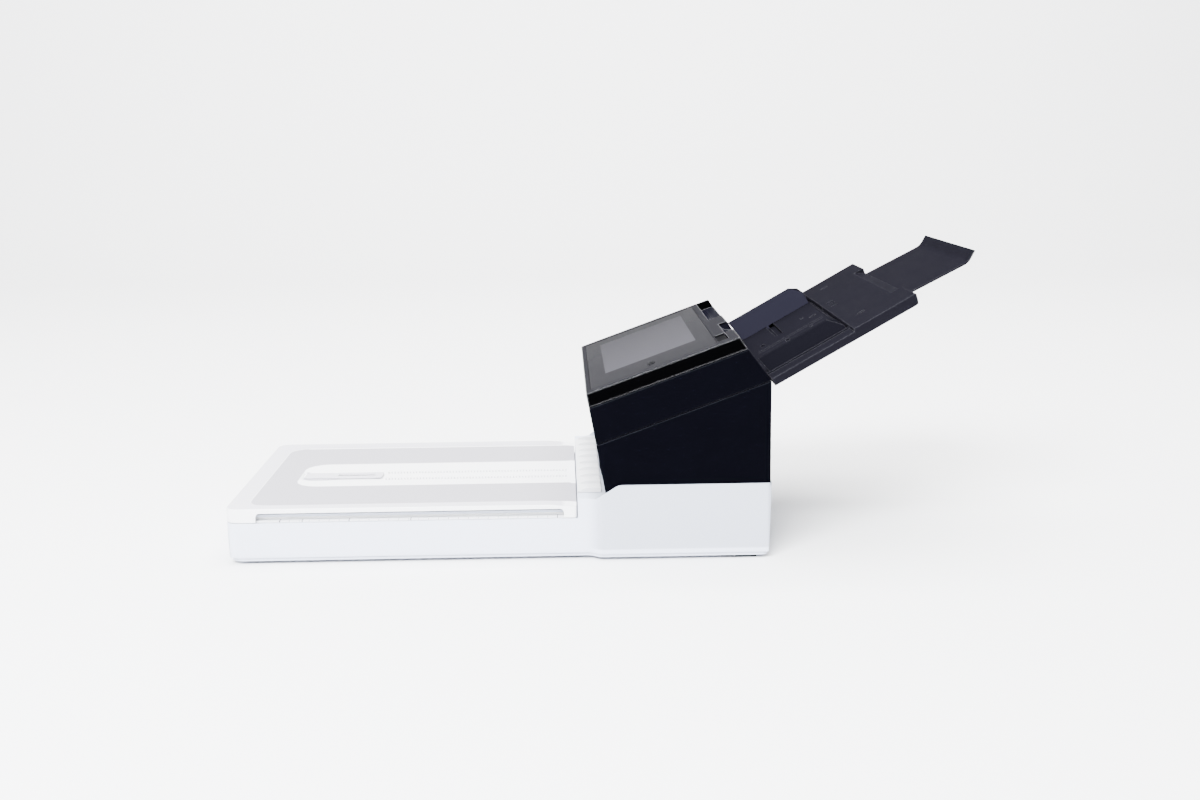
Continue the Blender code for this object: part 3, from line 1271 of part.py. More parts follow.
def make_lower_guide(root, path):
    half = SIDE_PLATE_X - GAP
    top = -GUIDE_DROP
    under = top - GUIDE_THICKNESS
    lip = GUIDE_LIP
    outline = fillet([(-GUIDE_START, top), (-GUIDE_END, top, lip), (-GUIDE_END - lip, top - lip),
                      (-GUIDE_END - lip + GUIDE_THICKNESS / 2, under - lip), (-GUIDE_END, under, lip),
                      (-GUIDE_START, under)])
    guide = prism(outline, "X", -half, half, path)
    flanges = []
    for x in (-half, half - GUIDE_THICKNESS):
        flanges.append(box((x, -GUIDE_END, under - lip), (x + GUIDE_THICKNESS, -GUIDE_START, under + GAP), path))
    join(guide, *flanges)
    cutters = []
    for key, places, width in (("feed", (0,), FEED_HALF), ("transport", (-TYRE_X, TYRE_X), TYRE_HALF),
                               ("exit", (-TYRE_X, TYRE_X), TYRE_HALF)):
        u, w = ROLLER_PLACES[key]
        radius = ROLLER_RADII[key]
        for x in places:
            cutters.append(box((x - width - WIDE_GAP, -u - radius - WIDE_GAP, under - GAP),
                               (x + width + WIDE_GAP, -u + radius + WIDE_GAP, top + OVERRUN), path))
        axle = rod(AXLE_RADIUS + WIDE_GAP, -half - OVERRUN, half + OVERRUN, path, (0, -u, w), "X", AXLE_STEPS)
        cutters.append(axle)
    sensor = LINE_SENSOR_LENGTH / 2 + GAP
    cutters.append(box((-LINE_SENSOR_HALF - GAP, -LOWER_SENSOR_U - sensor, under - GAP),
                       (LINE_SENSOR_HALF + GAP, -LOWER_SENSOR_U + sensor, top + OVERRUN), path))
    cut(guide, *cutters)
    keep(guide, "dark_grey", "lower_guide", root)
    bar = line_sensor(path, LOWER_SENSOR_U, top - LINE_SENSOR_DEPTH, top)
    keep(bar, "gloss_black", "lower_sensor", root)


def line_sensor(path, u, low, high):
    half = LINE_SENSOR_LENGTH / 2
    outline = fillet([(-u - half, low, EDGE_ROUND), (-u + half, low, EDGE_ROUND), (-u + half, high),
                      (-u - half, high)])
    return prism(outline, "X", -LINE_SENSOR_HALF, LINE_SENSOR_HALF, path)


def roller_profile(length, sections):
    """Profile of a shaft with thicker sections given as (low, high, radius)."""
    profile = [(0, length), (AXLE_RADIUS, length)]
    for low, high, radius in sorted(sections, reverse=True):
        profile += [(AXLE_RADIUS, high), (radius, high), (radius, low), (AXLE_RADIUS, low)]
    return profile + [(AXLE_RADIUS, -length), (0, -length)]


def tyre_pair(radius):
    return [(-TYRE_X - TYRE_HALF, -TYRE_X + TYRE_HALF, radius), (TYRE_X - TYRE_HALF, TYRE_X + TYRE_HALF, radius)]


def make_lower_rollers(path, frames):
    reach = SIDE_PLATE_X + SIDE_PLATE * 2
    far = DRIVE_BELT_X + DRIVE_BELT_WIDTH / 2
    near = DRIVE_BELT_X - DRIVE_BELT_WIDTH / 2
    groove = DRIVE_PULLEY - GAP
    rim = DRIVE_PULLEY + BELT_THICKNESS
    for key, name in (("feed", "feed_roller"), ("transport", "transport_roller"), ("exit", "exit_roller")):
        u, w = ROLLER_PLACES[key]
        radius = ROLLER_RADII[key]
        if key == "feed":
            profile = roller_profile(reach, [(-FEED_HALF, FEED_HALF, radius)])
        else:
            profile = roller_profile(reach, tyre_pair(radius))
        roller = turned(profile, path, (0, -u, w), "X")
        if key == "transport":
            wheel = turned(pulley_profile(near, far, groove, rim), path, (0, -u, w), "X")
            join(roller, wheel)
        keep(smooth(roller), "rubber", name, frames[name])


def pulley_profile(near, far, groove, rim):
    """Profile of the grooved belt wheel at the far end of a shaft."""
    top = -near + GAP + PULLEY_FLANGE
    end = -far - GAP - PULLEY_FLANGE
    return [(0, top), (rim, top), (rim, -near + GAP), (groove, -near + GAP), (groove, -far - GAP),
            (rim, -far - GAP), (rim, end), (0, end)]


def make_feeder_drive(root, frames):
    near = DRIVE_BELT_X - DRIVE_BELT_WIDTH / 2
    far = DRIVE_BELT_X + DRIVE_BELT_WIDTH / 2
    u, w = ROLLER_PLACES["transport"]
    loop = belt_loop((MOTOR_Y, MOTOR_Z), path_point(u, w), DRIVE_PULLEY, BELT_THICKNESS)
    keep(prism(loop, "X", -far, -near, root), "rubber", "drive_belt")
    rim = DRIVE_PULLEY + BELT_THICKNESS
    wheel = turned(pulley_profile(near, far, DRIVE_PULLEY - GAP, rim), root, (0, MOTOR_Y, MOTOR_Z), "X")
    shaft = rod(AXLE_RADIUS, -near - OVERRUN, -SIDE_PLATE_X + OVERRUN, root, (0, MOTOR_Y, MOTOR_Z), "X")
    join(wheel, shaft)
    keep(wheel, "white_part", "motor_pulley", frames["motor_pulley"])
    start = -SIDE_PLATE_X + GAP
    case = rod(FEED_MOTOR_RADIUS, start, start + FEED_MOTOR_LENGTH, root, (0, MOTOR_Y, MOTOR_Z), "X", CASE_STEPS)
    bore = rod(AXLE_RADIUS + RUN_GAP, start - OVERRUN, start + OVERRUN + RUN_GAP, root, (0, MOTOR_Y, MOTOR_Z),
               "X", SMALL_STEPS)
    cut(case, bore)
    keep(case, "steel", "adf_motor")


def cap_outline(low, high, inset=0):
    """Side outline of the cover between two depths under the panel, drawn in by a wall."""
    def rear(t):
        if t > -CAP_DEPTH:
            return PANEL_LENGTH - CAP_REAR_LEAN * t / CAP_DEPTH
        end = rear_s(-SEAM_DEPTH)
        share = (-t - CAP_DEPTH) / (SEAM_DEPTH - CAP_DEPTH)
        start = PANEL_LENGTH + CAP_REAR_LEAN
        return start + (end - start) * share
    return [(face_s(high) + inset, high), (face_s(low) + inset, low), (rear(low) - inset, low),
            (rear(high) - inset, high)]


def make_cover_shell(panel, path, cover_frame):
    high = -CAP_DEPTH - GAP
    low = -SEAM_DEPTH
    shell = prism(cap_outline(low, high), "X", -FEEDER_HALF, FEEDER_HALF, panel)
    round_edges(shell, EDGE_ROUND, BEND_STEPS, SQUARE_CREASE)
    inside = FEEDER_HALF - COVER_WALL
    cut(shell, prism(cap_outline(low - OVERRUN, high + OVERRUN, COVER_WALL), "X", -inside, inside, panel))
    skirt_half = FEEDER_HALF - FEEDER_WALL - RUN_GAP
    top = low + COVER_WALL
    end = low - SKIRT_DEPTH
    skirt = prism([(face_s(top) + EDGE_ROUND / 2, top), (face_s(end) + EDGE_ROUND / 2, end),
                   (face_s(end) + COVER_WALL + GAP, end), (face_s(top) + COVER_WALL + GAP, top)],
                  "X", -skirt_half, skirt_half, panel)
    s, t = panel_spot(HINGE_Y, HINGE_Z)
    eye = ARM_EYE
    arm_top = top - EDGE_ROUND
    outline = fillet([(s - eye, t - eye, eye), (s + eye, t - eye, eye), (s + ARM_SPAN, arm_top),
                      (face_s(top) + EDGE_ROUND, arm_top), (s - eye, t + eye)])
    bore = circle(s, t, PIN_RADIUS + GAP, AXLE_STEPS)
    outer = FEEDER_HALF - ARM_INSET
    arms = [prism([outline, bore], "X", x, x + ARM_PLATE, panel) for x in (-outer, outer - ARM_PLATE)]
    join(shell, skirt, *arms)
    entry = box((-ENTRY_HALF, -ENTRY_REACH, -ENTRY_DROP), (ENTRY_HALF, ENTRY_START, ENTRY_HEIGHT), path)
    cut(shell, entry)
    keep(shell, "black_shell", "cover_shell", cover_frame)


def make_panel(panel, frames):
    cap = prism(cap_outline(-CAP_DEPTH, 0), "X", -FEEDER_HALF, FEEDER_HALF, panel)
    round_edges(cap, EDGE_ROUND, BEND_STEPS, CREASE)
    inside = FEEDER_HALF - COVER_WALL
    block = PANEL_LENGTH - SCOOP_FAR_LENGTH - PANEL_RIM
    hollow = prism(rectangle(-inside, COVER_WALL, inside, block), "Z", -CAP_DEPTH - OVERRUN, -CAP_SHEET, panel)
    side = FEEDER_HALF - GLASS_SIDE
    seat = TOUCH_SINK + TOUCH_THICKNESS + GAP
    pocket = prism(rectangle(-side - GAP, GLASS_FRONT - GAP, side + GAP, GLASS_REAR + GAP, GLASS_ROUND + GAP),
                   "Z", -seat, OVERRUN, panel)
    window = prism(rectangle(-side + PANEL_RIM, GLASS_FRONT + PANEL_RIM, side - PANEL_RIM,
                             GLASS_REAR - PANEL_RIM, GLASS_ROUND), "Z", -CAP_DEPTH, 0, panel)
    far = prism(rectangle(SCOOP_FAR_X - SCOOP_FAR_WIDTH / 2, PANEL_LENGTH - SCOOP_FAR_LENGTH,
                          SCOOP_FAR_X + SCOOP_FAR_WIDTH / 2, PANEL_LENGTH + CAP_REAR_LEAN + OVERRUN),
                "Z", -SCOOP_DEPTH, OVERRUN, panel)
    near = rod(SCOOP_NEAR_RADIUS, SCOOP_NEAR_X - SCOOP_NEAR_WIDTH / 2, SCOOP_NEAR_X + SCOOP_NEAR_WIDTH / 2,
               panel, (0, PANEL_LENGTH + SCOOP_NEAR_SHIFT, SCOOP_NEAR_SHIFT), "X", CASE_STEPS)
    button = prism(button_outline(RUN_GAP), "Z", -CAP_DEPTH - OVERRUN, OVERRUN, panel)
    cut(cap, hollow, pocket, window, far, near, button)
    keep(cap, "gloss_black", "panel_bezel", frames["cover_hinge"])

    glass = prism([rectangle(-side, GLASS_FRONT, side, GLASS_REAR, GLASS_ROUND), key_outline(RUN_GAP)],
                  "Z", -TOUCH_SINK - TOUCH_THICKNESS, -TOUCH_SINK, panel)
    keep(glass, "glass_dark", "touch_glass", frames["cover_hinge"])
    top = -TOUCH_SINK - TOUCH_THICKNESS - GAP
    screen = box((SCREEN_FAR - SCREEN_MARGIN, SCREEN_FRONT - SCREEN_MARGIN, top - SCREEN_THICKNESS),
                 (SCREEN_NEAR + SCREEN_MARGIN, SCREEN_REAR + SCREEN_MARGIN, top), panel)
    keep(screen, "screen", "display_module", frames["cover_hinge"])
    under = top - SCREEN_THICKNESS - GAP
    reach = FEEDER_HALF - BOARD_SIDE
    board = box((-reach, SCREEN_FRONT, under - PANEL_BOARD), (reach, SCREEN_REAR, under), panel)
    keep(board, "board_green", "panel_board", frames["cover_hinge"])
    stem = prism(key_outline(0), "Z", under + KEY_TRAVEL + GAP, KEY_PROUD, panel)
    rim = prism(key_outline(RUN_GAP + KEY_RIM), "Z", top - KEY_RIM, top, panel)
    join(stem, rim)
    keep(stem, "mid_grey", "power_key", frames["power_key"])


def key_outline(grow):
    return rectangle(KEY_X - KEY_WIDTH / 2 - grow, KEY_S - KEY_LENGTH / 2 - grow,
                     KEY_X + KEY_WIDTH / 2 + grow, KEY_S + KEY_LENGTH / 2 + grow, EDGE_ROUND)


def button_outline(grow):
    return rectangle(BUTTON_X - BUTTON_WIDTH / 2 - grow, BUTTON_S - BUTTON_LENGTH / 2 - grow,
                     BUTTON_X + BUTTON_WIDTH / 2 + grow, BUTTON_S + BUTTON_LENGTH / 2 + grow, EDGE_ROUND)


def make_release_button(panel, frames):
    body = prism(button_outline(0), "Z", -CAP_DEPTH - GAP * 2, -BUTTON_SINK, panel)
    round_edges(body, EDGE_ROUND / 2, BEND_STEPS, CREASE)
    flange = prism(button_outline(BUTTON_FLANGE), "Z", -CAP_DEPTH - GAP - BUTTON_FLANGE, -CAP_DEPTH - GAP, panel)
    join(body, flange)
    keep(body, "mid_grey", "release_button", frames["release_button"])


def make_upper_guide(panel, path, cover_frame):
    """Hollow box under the cover: its floor follows the paper, its top plate fits the cover's rim."""
    web_top = -SEAM_DEPTH + UPPER_WEB / 2
    web_low = web_top - GUIDE_THICKNESS
    inside = FEEDER_HALF - COVER_WALL - GAP
    web = prism(cap_outline(web_low, web_top, COVER_WALL + GAP), "X", -inside, inside, panel)
    start = path_point(UPPER_START, GUIDE_RISE)
    end = path_point(UPPER_END, GUIDE_RISE)
    s_start, t_start = panel_spot(*start)
    s_end, t_end = panel_spot(*end)
    wall = GUIDE_THICKNESS
    body = prism([(s_end, t_end), (s_start, t_start), (s_start, web_low + GAP), (s_end, web_low + GAP)],
                 "X", -UPPER_HALF, UPPER_HALF, panel)
    slope = (t_start - t_end) / (s_start - s_end)
    room = prism([(s_end + wall, t_end + wall * (1 + slope)),
                  (s_start - wall, t_start + wall * (1 - slope)),
                  (s_start - wall, web_top + OVERRUN), (s_end + wall, web_top + OVERRUN)],
                 "X", -UPPER_HALF + wall, UPPER_HALF - wall, panel)
    join(web, body)
    cut(web, room)
    cheeks = []
    cutters = []
    rollers = (("part", (0,), FEED_HALF), ("transport_idle", (-TYRE_X, TYRE_X), TYRE_HALF),
               ("exit_idle", (-TYRE_X, TYRE_X), TYRE_HALF))
    for key, places, width in rollers:
        u, w = ROLLER_PLACES[key]
        radius = ROLLER_RADII[key]
        spare = PART_SPARE if key == "part" else 0
        for x in places:
            cutters.append(box((x - width - WIDE_GAP, -u - radius - WIDE_GAP - spare, -OVERRUN),
                               (x + width + WIDE_GAP, -u + radius + WIDE_GAP + spare / 2,
                                w + radius + WIDE_GAP), path))
        reach = cheek_reach(key)
        eye = AXLE_RADIUS + GUIDE_THICKNESS
        outer = fillet([(-u - eye, GUIDE_RISE + GAP), (-u + eye, GUIDE_RISE + GAP), (-u + eye, w + eye, eye),
                        (-u - eye, w + eye, eye)])
        for x in (-reach, reach - GUIDE_THICKNESS):
            cheeks.append(prism(outer, "X", x, x + GUIDE_THICKNESS, path))
        cutters.append(rod(AXLE_RADIUS + GAP, -reach - OVERRUN, reach + OVERRUN, path, (0, -u, w),
                           "X", AXLE_STEPS))
    half = LINE_SENSOR_LENGTH / 2 + GAP
    cutters.append(box((-LINE_SENSOR_HALF - GAP, -UPPER_SENSOR_U - half, -OVERRUN),
                       (LINE_SENSOR_HALF + GAP, -UPPER_SENSOR_U + half, LINE_SENSOR_DEPTH), path))
    join(web, *cheeks)
    cut(web, *cutters)
    keep(web, "dark_grey", "upper_guide", cover_frame)
    bar = line_sensor(path, UPPER_SENSOR_U, GUIDE_RISE, GUIDE_RISE + LINE_SENSOR_DEPTH)
    keep(bar, "gloss_black", "upper_sensor", cover_frame)


def cheek_reach(key):
    """Outer face of the cheeks that carry a roller under the cover."""
    if key == "part":
        return FEED_HALF + WIDE_GAP * 2 + GUIDE_THICKNESS
    return TYRE_X + TYRE_HALF + WIDE_GAP * 2 + GUIDE_THICKNESS


def make_upper_rollers(path, frames):
    names = {"part": "separation_roller", "transport_idle": "transport_idler", "exit_idle": "exit_idler"}
    for key, name in names.items():
        u, w = ROLLER_PLACES[key]
        radius = ROLLER_RADII[key]
        reach = cheek_reach(key) + RUN_GAP
        sections = [(-FEED_HALF, FEED_HALF, radius)] if key == "part" else tyre_pair(radius)
        roller = turned(roller_profile(reach, sections), path, (0, -u, w), "X")
        keep(roller, "rubber" if key == "part" else "white_part", name, frames[name])


def make_input_tray(root, tray):
    half = TRAY_WIDTH / 2
    bottom = -TRAY_UNDER
    rise = TRAY_UPPER_RISE
    end = TRAY_LENGTH
    outline = fillet([(0, bottom), (end - TRAY_END_ROUND / 2, bottom, TRAY_END_ROUND),
                      (end, rise, EDGE_ROUND), (TRAY_UPPER_START + EDGE_ROUND, rise),
                      (TRAY_UPPER_START, 0), (0, 0)])
    body = prism(outline, "X", -half, half, tray)
    round_edges(body, EDGE_ROUND / 2, 1, SQUARE_CREASE)
    ridges = []
    for x in (-TRAY_RAIL_X - TRAY_RAIL_WIDTH, TRAY_RAIL_X):
        ridges.append(box((x, 0, -EDGE_ROUND), (x + TRAY_RAIL_WIDTH, TRAY_UPPER_START + EDGE_ROUND,
                                               TRAY_RAIL_RISE), tray))
    lugs = []
    for x in (-LUG_X, LUG_X):
        lugs.append(box((x - LUG_HALF, -LUG_REACH, bottom),
                        (x + LUG_HALF, TRAY_SHEET, bottom + LUG_RISE), tray))
    join(body, *ridges, *lugs)

    bed = prism(rectangle(-TRAY_BED_HALF, -OVERRUN, TRAY_BED_HALF, TRAY_UPPER_START), "Z", -TRAY_FLOOR,
                rise + OVERRUN, tray)
    wall = TRAY_SHEET
    under = -TRAY_FLOOR - wall
    step = TRAY_UPPER_START + wall
    room = prism([(wall, bottom - OVERRUN), (end - wall, bottom - OVERRUN), (end - wall, rise - wall),
                  (step, rise - wall), (step, under), (wall, under)], "X", -half + wall, half - wall, tray)
    scoop = prism([(SCOOP_START, rise), (end, rise - SCOOP_DROP), (end + OVERRUN, rise - SCOOP_DROP),
                   (end + OVERRUN, rise + OVERRUN), (SCOOP_START, rise + OVERRUN)],
                  "X", -SCOOP_HALF, SCOOP_HALF, tray)
    mouth_half = EXT_HALF + RUN_GAP
    mouth = prism([(step + wall, bottom - OVERRUN), (end + OVERRUN, bottom - OVERRUN),
                   (end + OVERRUN, rise - SCOOP_DROP - SCOOP_SHEET), (end, rise - SCOOP_DROP - SCOOP_SHEET),
                   (SCOOP_START - wall, rise - wall), (step + wall, rise - wall)],
                  "X", -mouth_half, mouth_half, tray)
    cut(body, bed, scoop)
    slots = []
    for side in (-1, 1):
        low, high = sorted((side * (leg_far() + RUN_GAP), side * (leg_far() - LEG_WIDTH - GUIDE_TRAVEL - RUN_GAP)))
        v = rack_v(side)
        slots.append(box((low, v - RACK_WIDTH / 2 - RUN_GAP, under - OVERRUN),
                         (high, v + RACK_WIDTH / 2 + RUN_GAP, OVERRUN), tray))
    cut(body, inner_room(tray, room), mouth, *slots)
    boss = rod(PINION_BORE - GAP, under - GAP - RACK_THICKNESS - GAP, under + wall / 2, tray, (0, SLOT_V, 0),
               steps=12)
    join(body, boss)
    keep(body, "dark_grey", "input_tray", root)

    low = bottom
    plate = box((-half + wall + GAP, wall + GAP, low), (half - wall - GAP, end - wall - GAP, low + UNDER_SHEET),
                tray)
    keep(plate, "dark_grey", "tray_underside", root)


def inner_room(tray, room):
    """Hollow under the tray's surface, kept clear of the sloping scoop."""
    rise = TRAY_UPPER_RISE
    half = SCOOP_HALF + TRAY_SHEET
    spare = box((-half, SCOOP_START - TRAY_SHEET * 2, -TRAY_UNDER - OVERRUN * 2),
                (half, TRAY_LENGTH + OVERRUN, rise + OVERRUN), tray)
    return cut(room, spare)


def leg_far():
    """Outer side of a guide's leg, from the tray's middle."""
    return GUIDE_WALL_X + LEG_WIDTH


def rack_v(side):
    """Place of a guide's rack beside the pinion."""
    return SLOT_V + side * (PINION_RADIUS + GAP + RACK_WIDTH / 2)


def make_side_guides(tray, frames):
    floor = -TRAY_FLOOR
    foot = floor + GAP
    wall = GUIDE_WALL
    inner = GUIDE_WALL_X
    under = floor - TRAY_SHEET - GAP
    start = GUIDE_FROM_EDGE
    end = start + GUIDE_LENGTH
    for name, side, tall in (("guide_near", 1, GUIDE_NEAR_TALL), ("guide_far", -1, GUIDE_FAR_TALL)):
        top = floor + tall
        section = fillet([
            (inner, foot), (inner + wall, foot), (inner + wall, top - wall * 2),
            (inner + GUIDE_FOOT - wall, foot), (inner + GUIDE_FOOT, foot),
            (inner + GUIDE_FOOT, foot + GUIDE_TOE), (inner + wall * 2, top, EDGE_ROUND),
            (inner, top, EDGE_ROUND / 2)])
        section = [(side * x, n) for x, n in section]
        blade = prism(section, "Y", start, end, tray)
        nose = prism([(end - GUIDE_NOSE, top + OVERRUN), (end - GUIDE_NOSE, top), (end, top - GUIDE_NOSE * 2),
                      (end + OVERRUN, top - GUIDE_NOSE * 2), (end + OVERRUN, top + OVERRUN)],
                     "X", -TRAY_WIDTH, TRAY_WIDTH, tray)
        cut(blade, nose)
        v = rack_v(side)
        low, high = sorted((side * inner, side * leg_far()))
        leg = box((low, v - RACK_WIDTH / 2, under - RACK_THICKNESS), (high, v + RACK_WIDTH / 2, foot + wall), tray)
        low, high = sorted((-side * RACK_OVER, side * leg_far()))
        rack = box((low, v - RACK_WIDTH / 2, under - RACK_THICKNESS), (high, v + RACK_WIDTH / 2, under), tray)
        join(blade, leg, rack)
        keep(blade, "dark_grey", name, frames[name])

    gear = []
    for tooth in range(PINION_TEETH):
        turn = 2 * math.pi * tooth / PINION_TEETH
        step = math.pi / PINION_TEETH / 2
        for reach, shift in ((PINION_RADIUS - PINION_TOOTH, -2 * step), (PINION_RADIUS, -step),
                             (PINION_RADIUS, step), (PINION_RADIUS - PINION_TOOTH, 2 * step)):
            gear.append((reach * math.cos(turn + shift), SLOT_V + reach * math.sin(turn + shift)))
    wheel = prism([gear, circle(0, SLOT_V, PINION_BORE, SMALL_STEPS)], "Z", under - RACK_THICKNESS, under, tray)
    keep(wheel, "white_part", "guide_pinion", frames["guide_pinion"])


def make_extension(extension, frames):
    end = EXT_REACH
    sheet = EXT_SHEET
    outline = fillet([
        (-EXT_INSIDE, 0), (-EXT_INSIDE, -sheet), (end, -sheet, EXT_LIP_ROUND),
        (end + EXT_LIP_RUN, EXT_LIP_RISE - sheet / 2), (end + EXT_LIP_RUN - sheet / 2, EXT_LIP_RISE),
        (end, 0, EXT_LIP_ROUND)], ARC_STEPS * 2)
    plate = prism(outline, "X", -EXT_HALF, EXT_HALF, extension)
    keep(plate, "dark_grey", "tray_extension", frames["tray_extension"])


def make_frames():
    low_y = -FRONT_LENGTH
    end_y = extension_end()
    root = frame("scanner", location=(0, -(low_y + end_y) / 2, 0))
    panel = frame("panel_frame", root, (0, PANEL_FRONT_Y, PANEL_FRONT_Z), PANEL_SLOPE)
    path = frame("path_frame", root, (0, PATH_Y, PATH_Z), PATH_SLOPE)
    tray = frame("tray_frame", root, (0, TRAY_Y, TRAY_Z), TRAY_SLOPE)
    extension = frame("extension_frame", tray, (0, TRAY_LENGTH, -EXT_DROP), EXT_SLOPE)
    frames = {"lid_hinge": frame("lid_hinge", root, (LID_HINGE_X, 0, LID_HINGE_Z))}
    frames["stopper_slide"] = frame("stopper_slide", frames["lid_hinge"],
                                    (-LID_HINGE_X, -STOPPER_REACH, CHANNEL_FLOOR - LID_HINGE_Z))
    frames["stopper_flap"] = frame("stopper_flap_hinge", frames["stopper_slide"],
                                   (0, 0, stopper_axis() - CHANNEL_FLOOR))
    frames["cover_hinge"] = frame("cover_hinge", root, (0, HINGE_Y, HINGE_Z))
    frames["carriage"] = frame("carriage_slide", root, (0, CARRIAGE_HOME, 0))
    frames["belt_drive_pulley"] = frame("drive_pulley_axis", root, (BELT_X, DRIVE_PULLEY_Y, DRIVE_HEIGHT))
    frames["belt_idler_pulley"] = frame("idler_pulley_axis", root, (BELT_X, IDLER_PULLEY_Y, DRIVE_HEIGHT))
    for key, name in (("feed", "feed_roller"), ("transport", "transport_roller"), ("exit", "exit_roller")):
        frames[name] = frame(name + "_axis", root, (0, *path_point(*ROLLER_PLACES[key])))
    cover = frames["cover_hinge"]
    for key, name in (("part", "separation_roller"), ("transport_idle", "transport_idler"),
                      ("exit_idle", "exit_idler")):
        y, z = path_point(*ROLLER_PLACES[key])
        frames[name] = frame(name + "_axis", cover, (0, y - HINGE_Y, z - HINGE_Z))
    for name, x, s in (("power_key", KEY_X, KEY_S), ("release_button", BUTTON_X, BUTTON_S)):
        y, z = panel_point(s, 0)
        frames[name] = frame(name + "_slide", cover, (x, y - HINGE_Y, z - HINGE_Z), PANEL_SLOPE)
    frames["motor_pulley"] = frame("motor_pulley_axis", root, (0, MOTOR_Y, MOTOR_Z))
    frames["guide_pinion"] = frame("pinion_axis", tray, (0, SLOT_V, 0))
    for name, side in (("guide_near", 1), ("guide_far", -1)):
        frames[name] = frame(name + "_slide", tray, (side * GUIDE_WALL_X, 0, 0))
    frames["tray_extension"] = frame("extension_slide", extension)
    return root, panel, path, tray, extension, frames


def extension_end():
    """Furthest Y that the extension's lip reaches, with the lid's end at zero."""
    slope = TRAY_SLOPE + EXT_SLOPE
    y = TRAY_Y + TRAY_LENGTH * math.cos(TRAY_SLOPE) + EXT_DROP * math.sin(TRAY_SLOPE)
    along = EXT_REACH + EXT_LIP_RUN
    up = EXT_LIP_RISE - EXT_SHEET / 2
    return y + along * math.cos(slope) - up * math.sin(slope)


def build():
    root, panel, path, tray, extension, frames = make_frames()
    make_base_housing(root)
    make_bottom_plate(root)
    make_feet(root)
    make_glass(root)
    make_carriage(frames["carriage"])
    make_carriage_drive(root, frames["belt_drive_pulley"], frames["belt_idler_pulley"])
    make_exit_ribs(root)
    make_electronics(root)
    make_lid_cover(root, frames["lid_hinge"])
    make_lid_inside(root, frames["lid_hinge"])
    make_lid_hinges(root)
    make_stopper(root, frames["stopper_slide"], frames["stopper_flap"])
    make_feeder_housing(root, tray)
    make_side_frames(root)
    make_lower_guide(root, path)
    make_lower_rollers(path, frames)
    make_feeder_drive(root, frames)
    make_cover_shell(panel, path, frames["cover_hinge"])
    make_panel(panel, frames)
    make_release_button(panel, frames)
    make_upper_guide(panel, path, frames["cover_hinge"])
    make_upper_rollers(path, frames)
    make_input_tray(root, tray)
    make_side_guides(tray, frames)
    make_extension(extension, frames)


build()
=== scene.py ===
import json
import math

import bmesh
import bpy
from mathutils import Matrix, Vector


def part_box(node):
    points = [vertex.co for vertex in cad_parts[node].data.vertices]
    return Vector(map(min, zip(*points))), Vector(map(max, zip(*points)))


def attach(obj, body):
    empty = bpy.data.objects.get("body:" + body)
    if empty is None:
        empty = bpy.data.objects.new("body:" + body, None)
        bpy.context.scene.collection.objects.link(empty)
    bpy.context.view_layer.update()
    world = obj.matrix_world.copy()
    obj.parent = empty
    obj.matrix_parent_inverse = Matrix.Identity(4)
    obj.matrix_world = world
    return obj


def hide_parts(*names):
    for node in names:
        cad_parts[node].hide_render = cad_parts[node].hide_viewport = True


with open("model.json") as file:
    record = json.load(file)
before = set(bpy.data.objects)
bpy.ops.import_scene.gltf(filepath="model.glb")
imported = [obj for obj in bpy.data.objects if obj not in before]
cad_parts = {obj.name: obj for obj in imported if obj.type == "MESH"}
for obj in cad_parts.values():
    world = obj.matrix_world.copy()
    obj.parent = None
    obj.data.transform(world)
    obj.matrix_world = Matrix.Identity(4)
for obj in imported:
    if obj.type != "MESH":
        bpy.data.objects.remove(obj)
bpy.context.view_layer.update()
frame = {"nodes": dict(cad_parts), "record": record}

bodyOf = {node: body for body, nodes in frame["record"]["behaviour"]["bodies"].items() for node in nodes}
print("frame loaded:", len(bodyOf), "nodes")

# Where things are, in metres: the flatbed's hinge end of the lid is at backShift
places = {
    "backShift": -0.027216,
    "panelTurn": math.radians(19.77), "panelFront": (0, 0.0099, 0.1709),
    "trayTurn": math.radians(29.5), "trayFoot": (0, 0.1952, 0.1838),
}


def placeFrame(turn, spot):
    # a sloping plane's own axes: x across, y up the slope, z out of it
    shifted = Vector(spot) + Vector((0, places["backShift"], 0))
    return Matrix.Translation(shifted) @ Matrix.Rotation(turn, 4, "X")


bedFrame = Matrix.Translation((0, places["backShift"], 0))
panelFrame = placeFrame(places["panelTurn"], places["panelFront"])
trayFrame = placeFrame(places["trayTurn"], places["trayFoot"])


# Shader sums written as plain arithmetic
class Field:
    def __init__(self, paint, socket):
        self.paint, self.socket = paint, socket

    def math(self, operation, *others):
        values = {0: self}
        values.update({spot + 1: other for spot, other in enumerate(others)})
        return self.paint.node("ShaderNodeMath", {"operation": operation}, values)

    def __add__(self, other):
        return self.math("ADD", other)

    def __sub__(self, other):
        return self.math("SUBTRACT", other)

    def __mul__(self, other):
        return self.math("MULTIPLY", other)

    def __truediv__(self, other):
        return self.math("DIVIDE", other)

    def __rsub__(self, other):
        return self.paint.node("ShaderNodeMath", {"operation": "SUBTRACT"}, {0: other, 1: self})

    __radd__ = __add__
    __rmul__ = __mul__


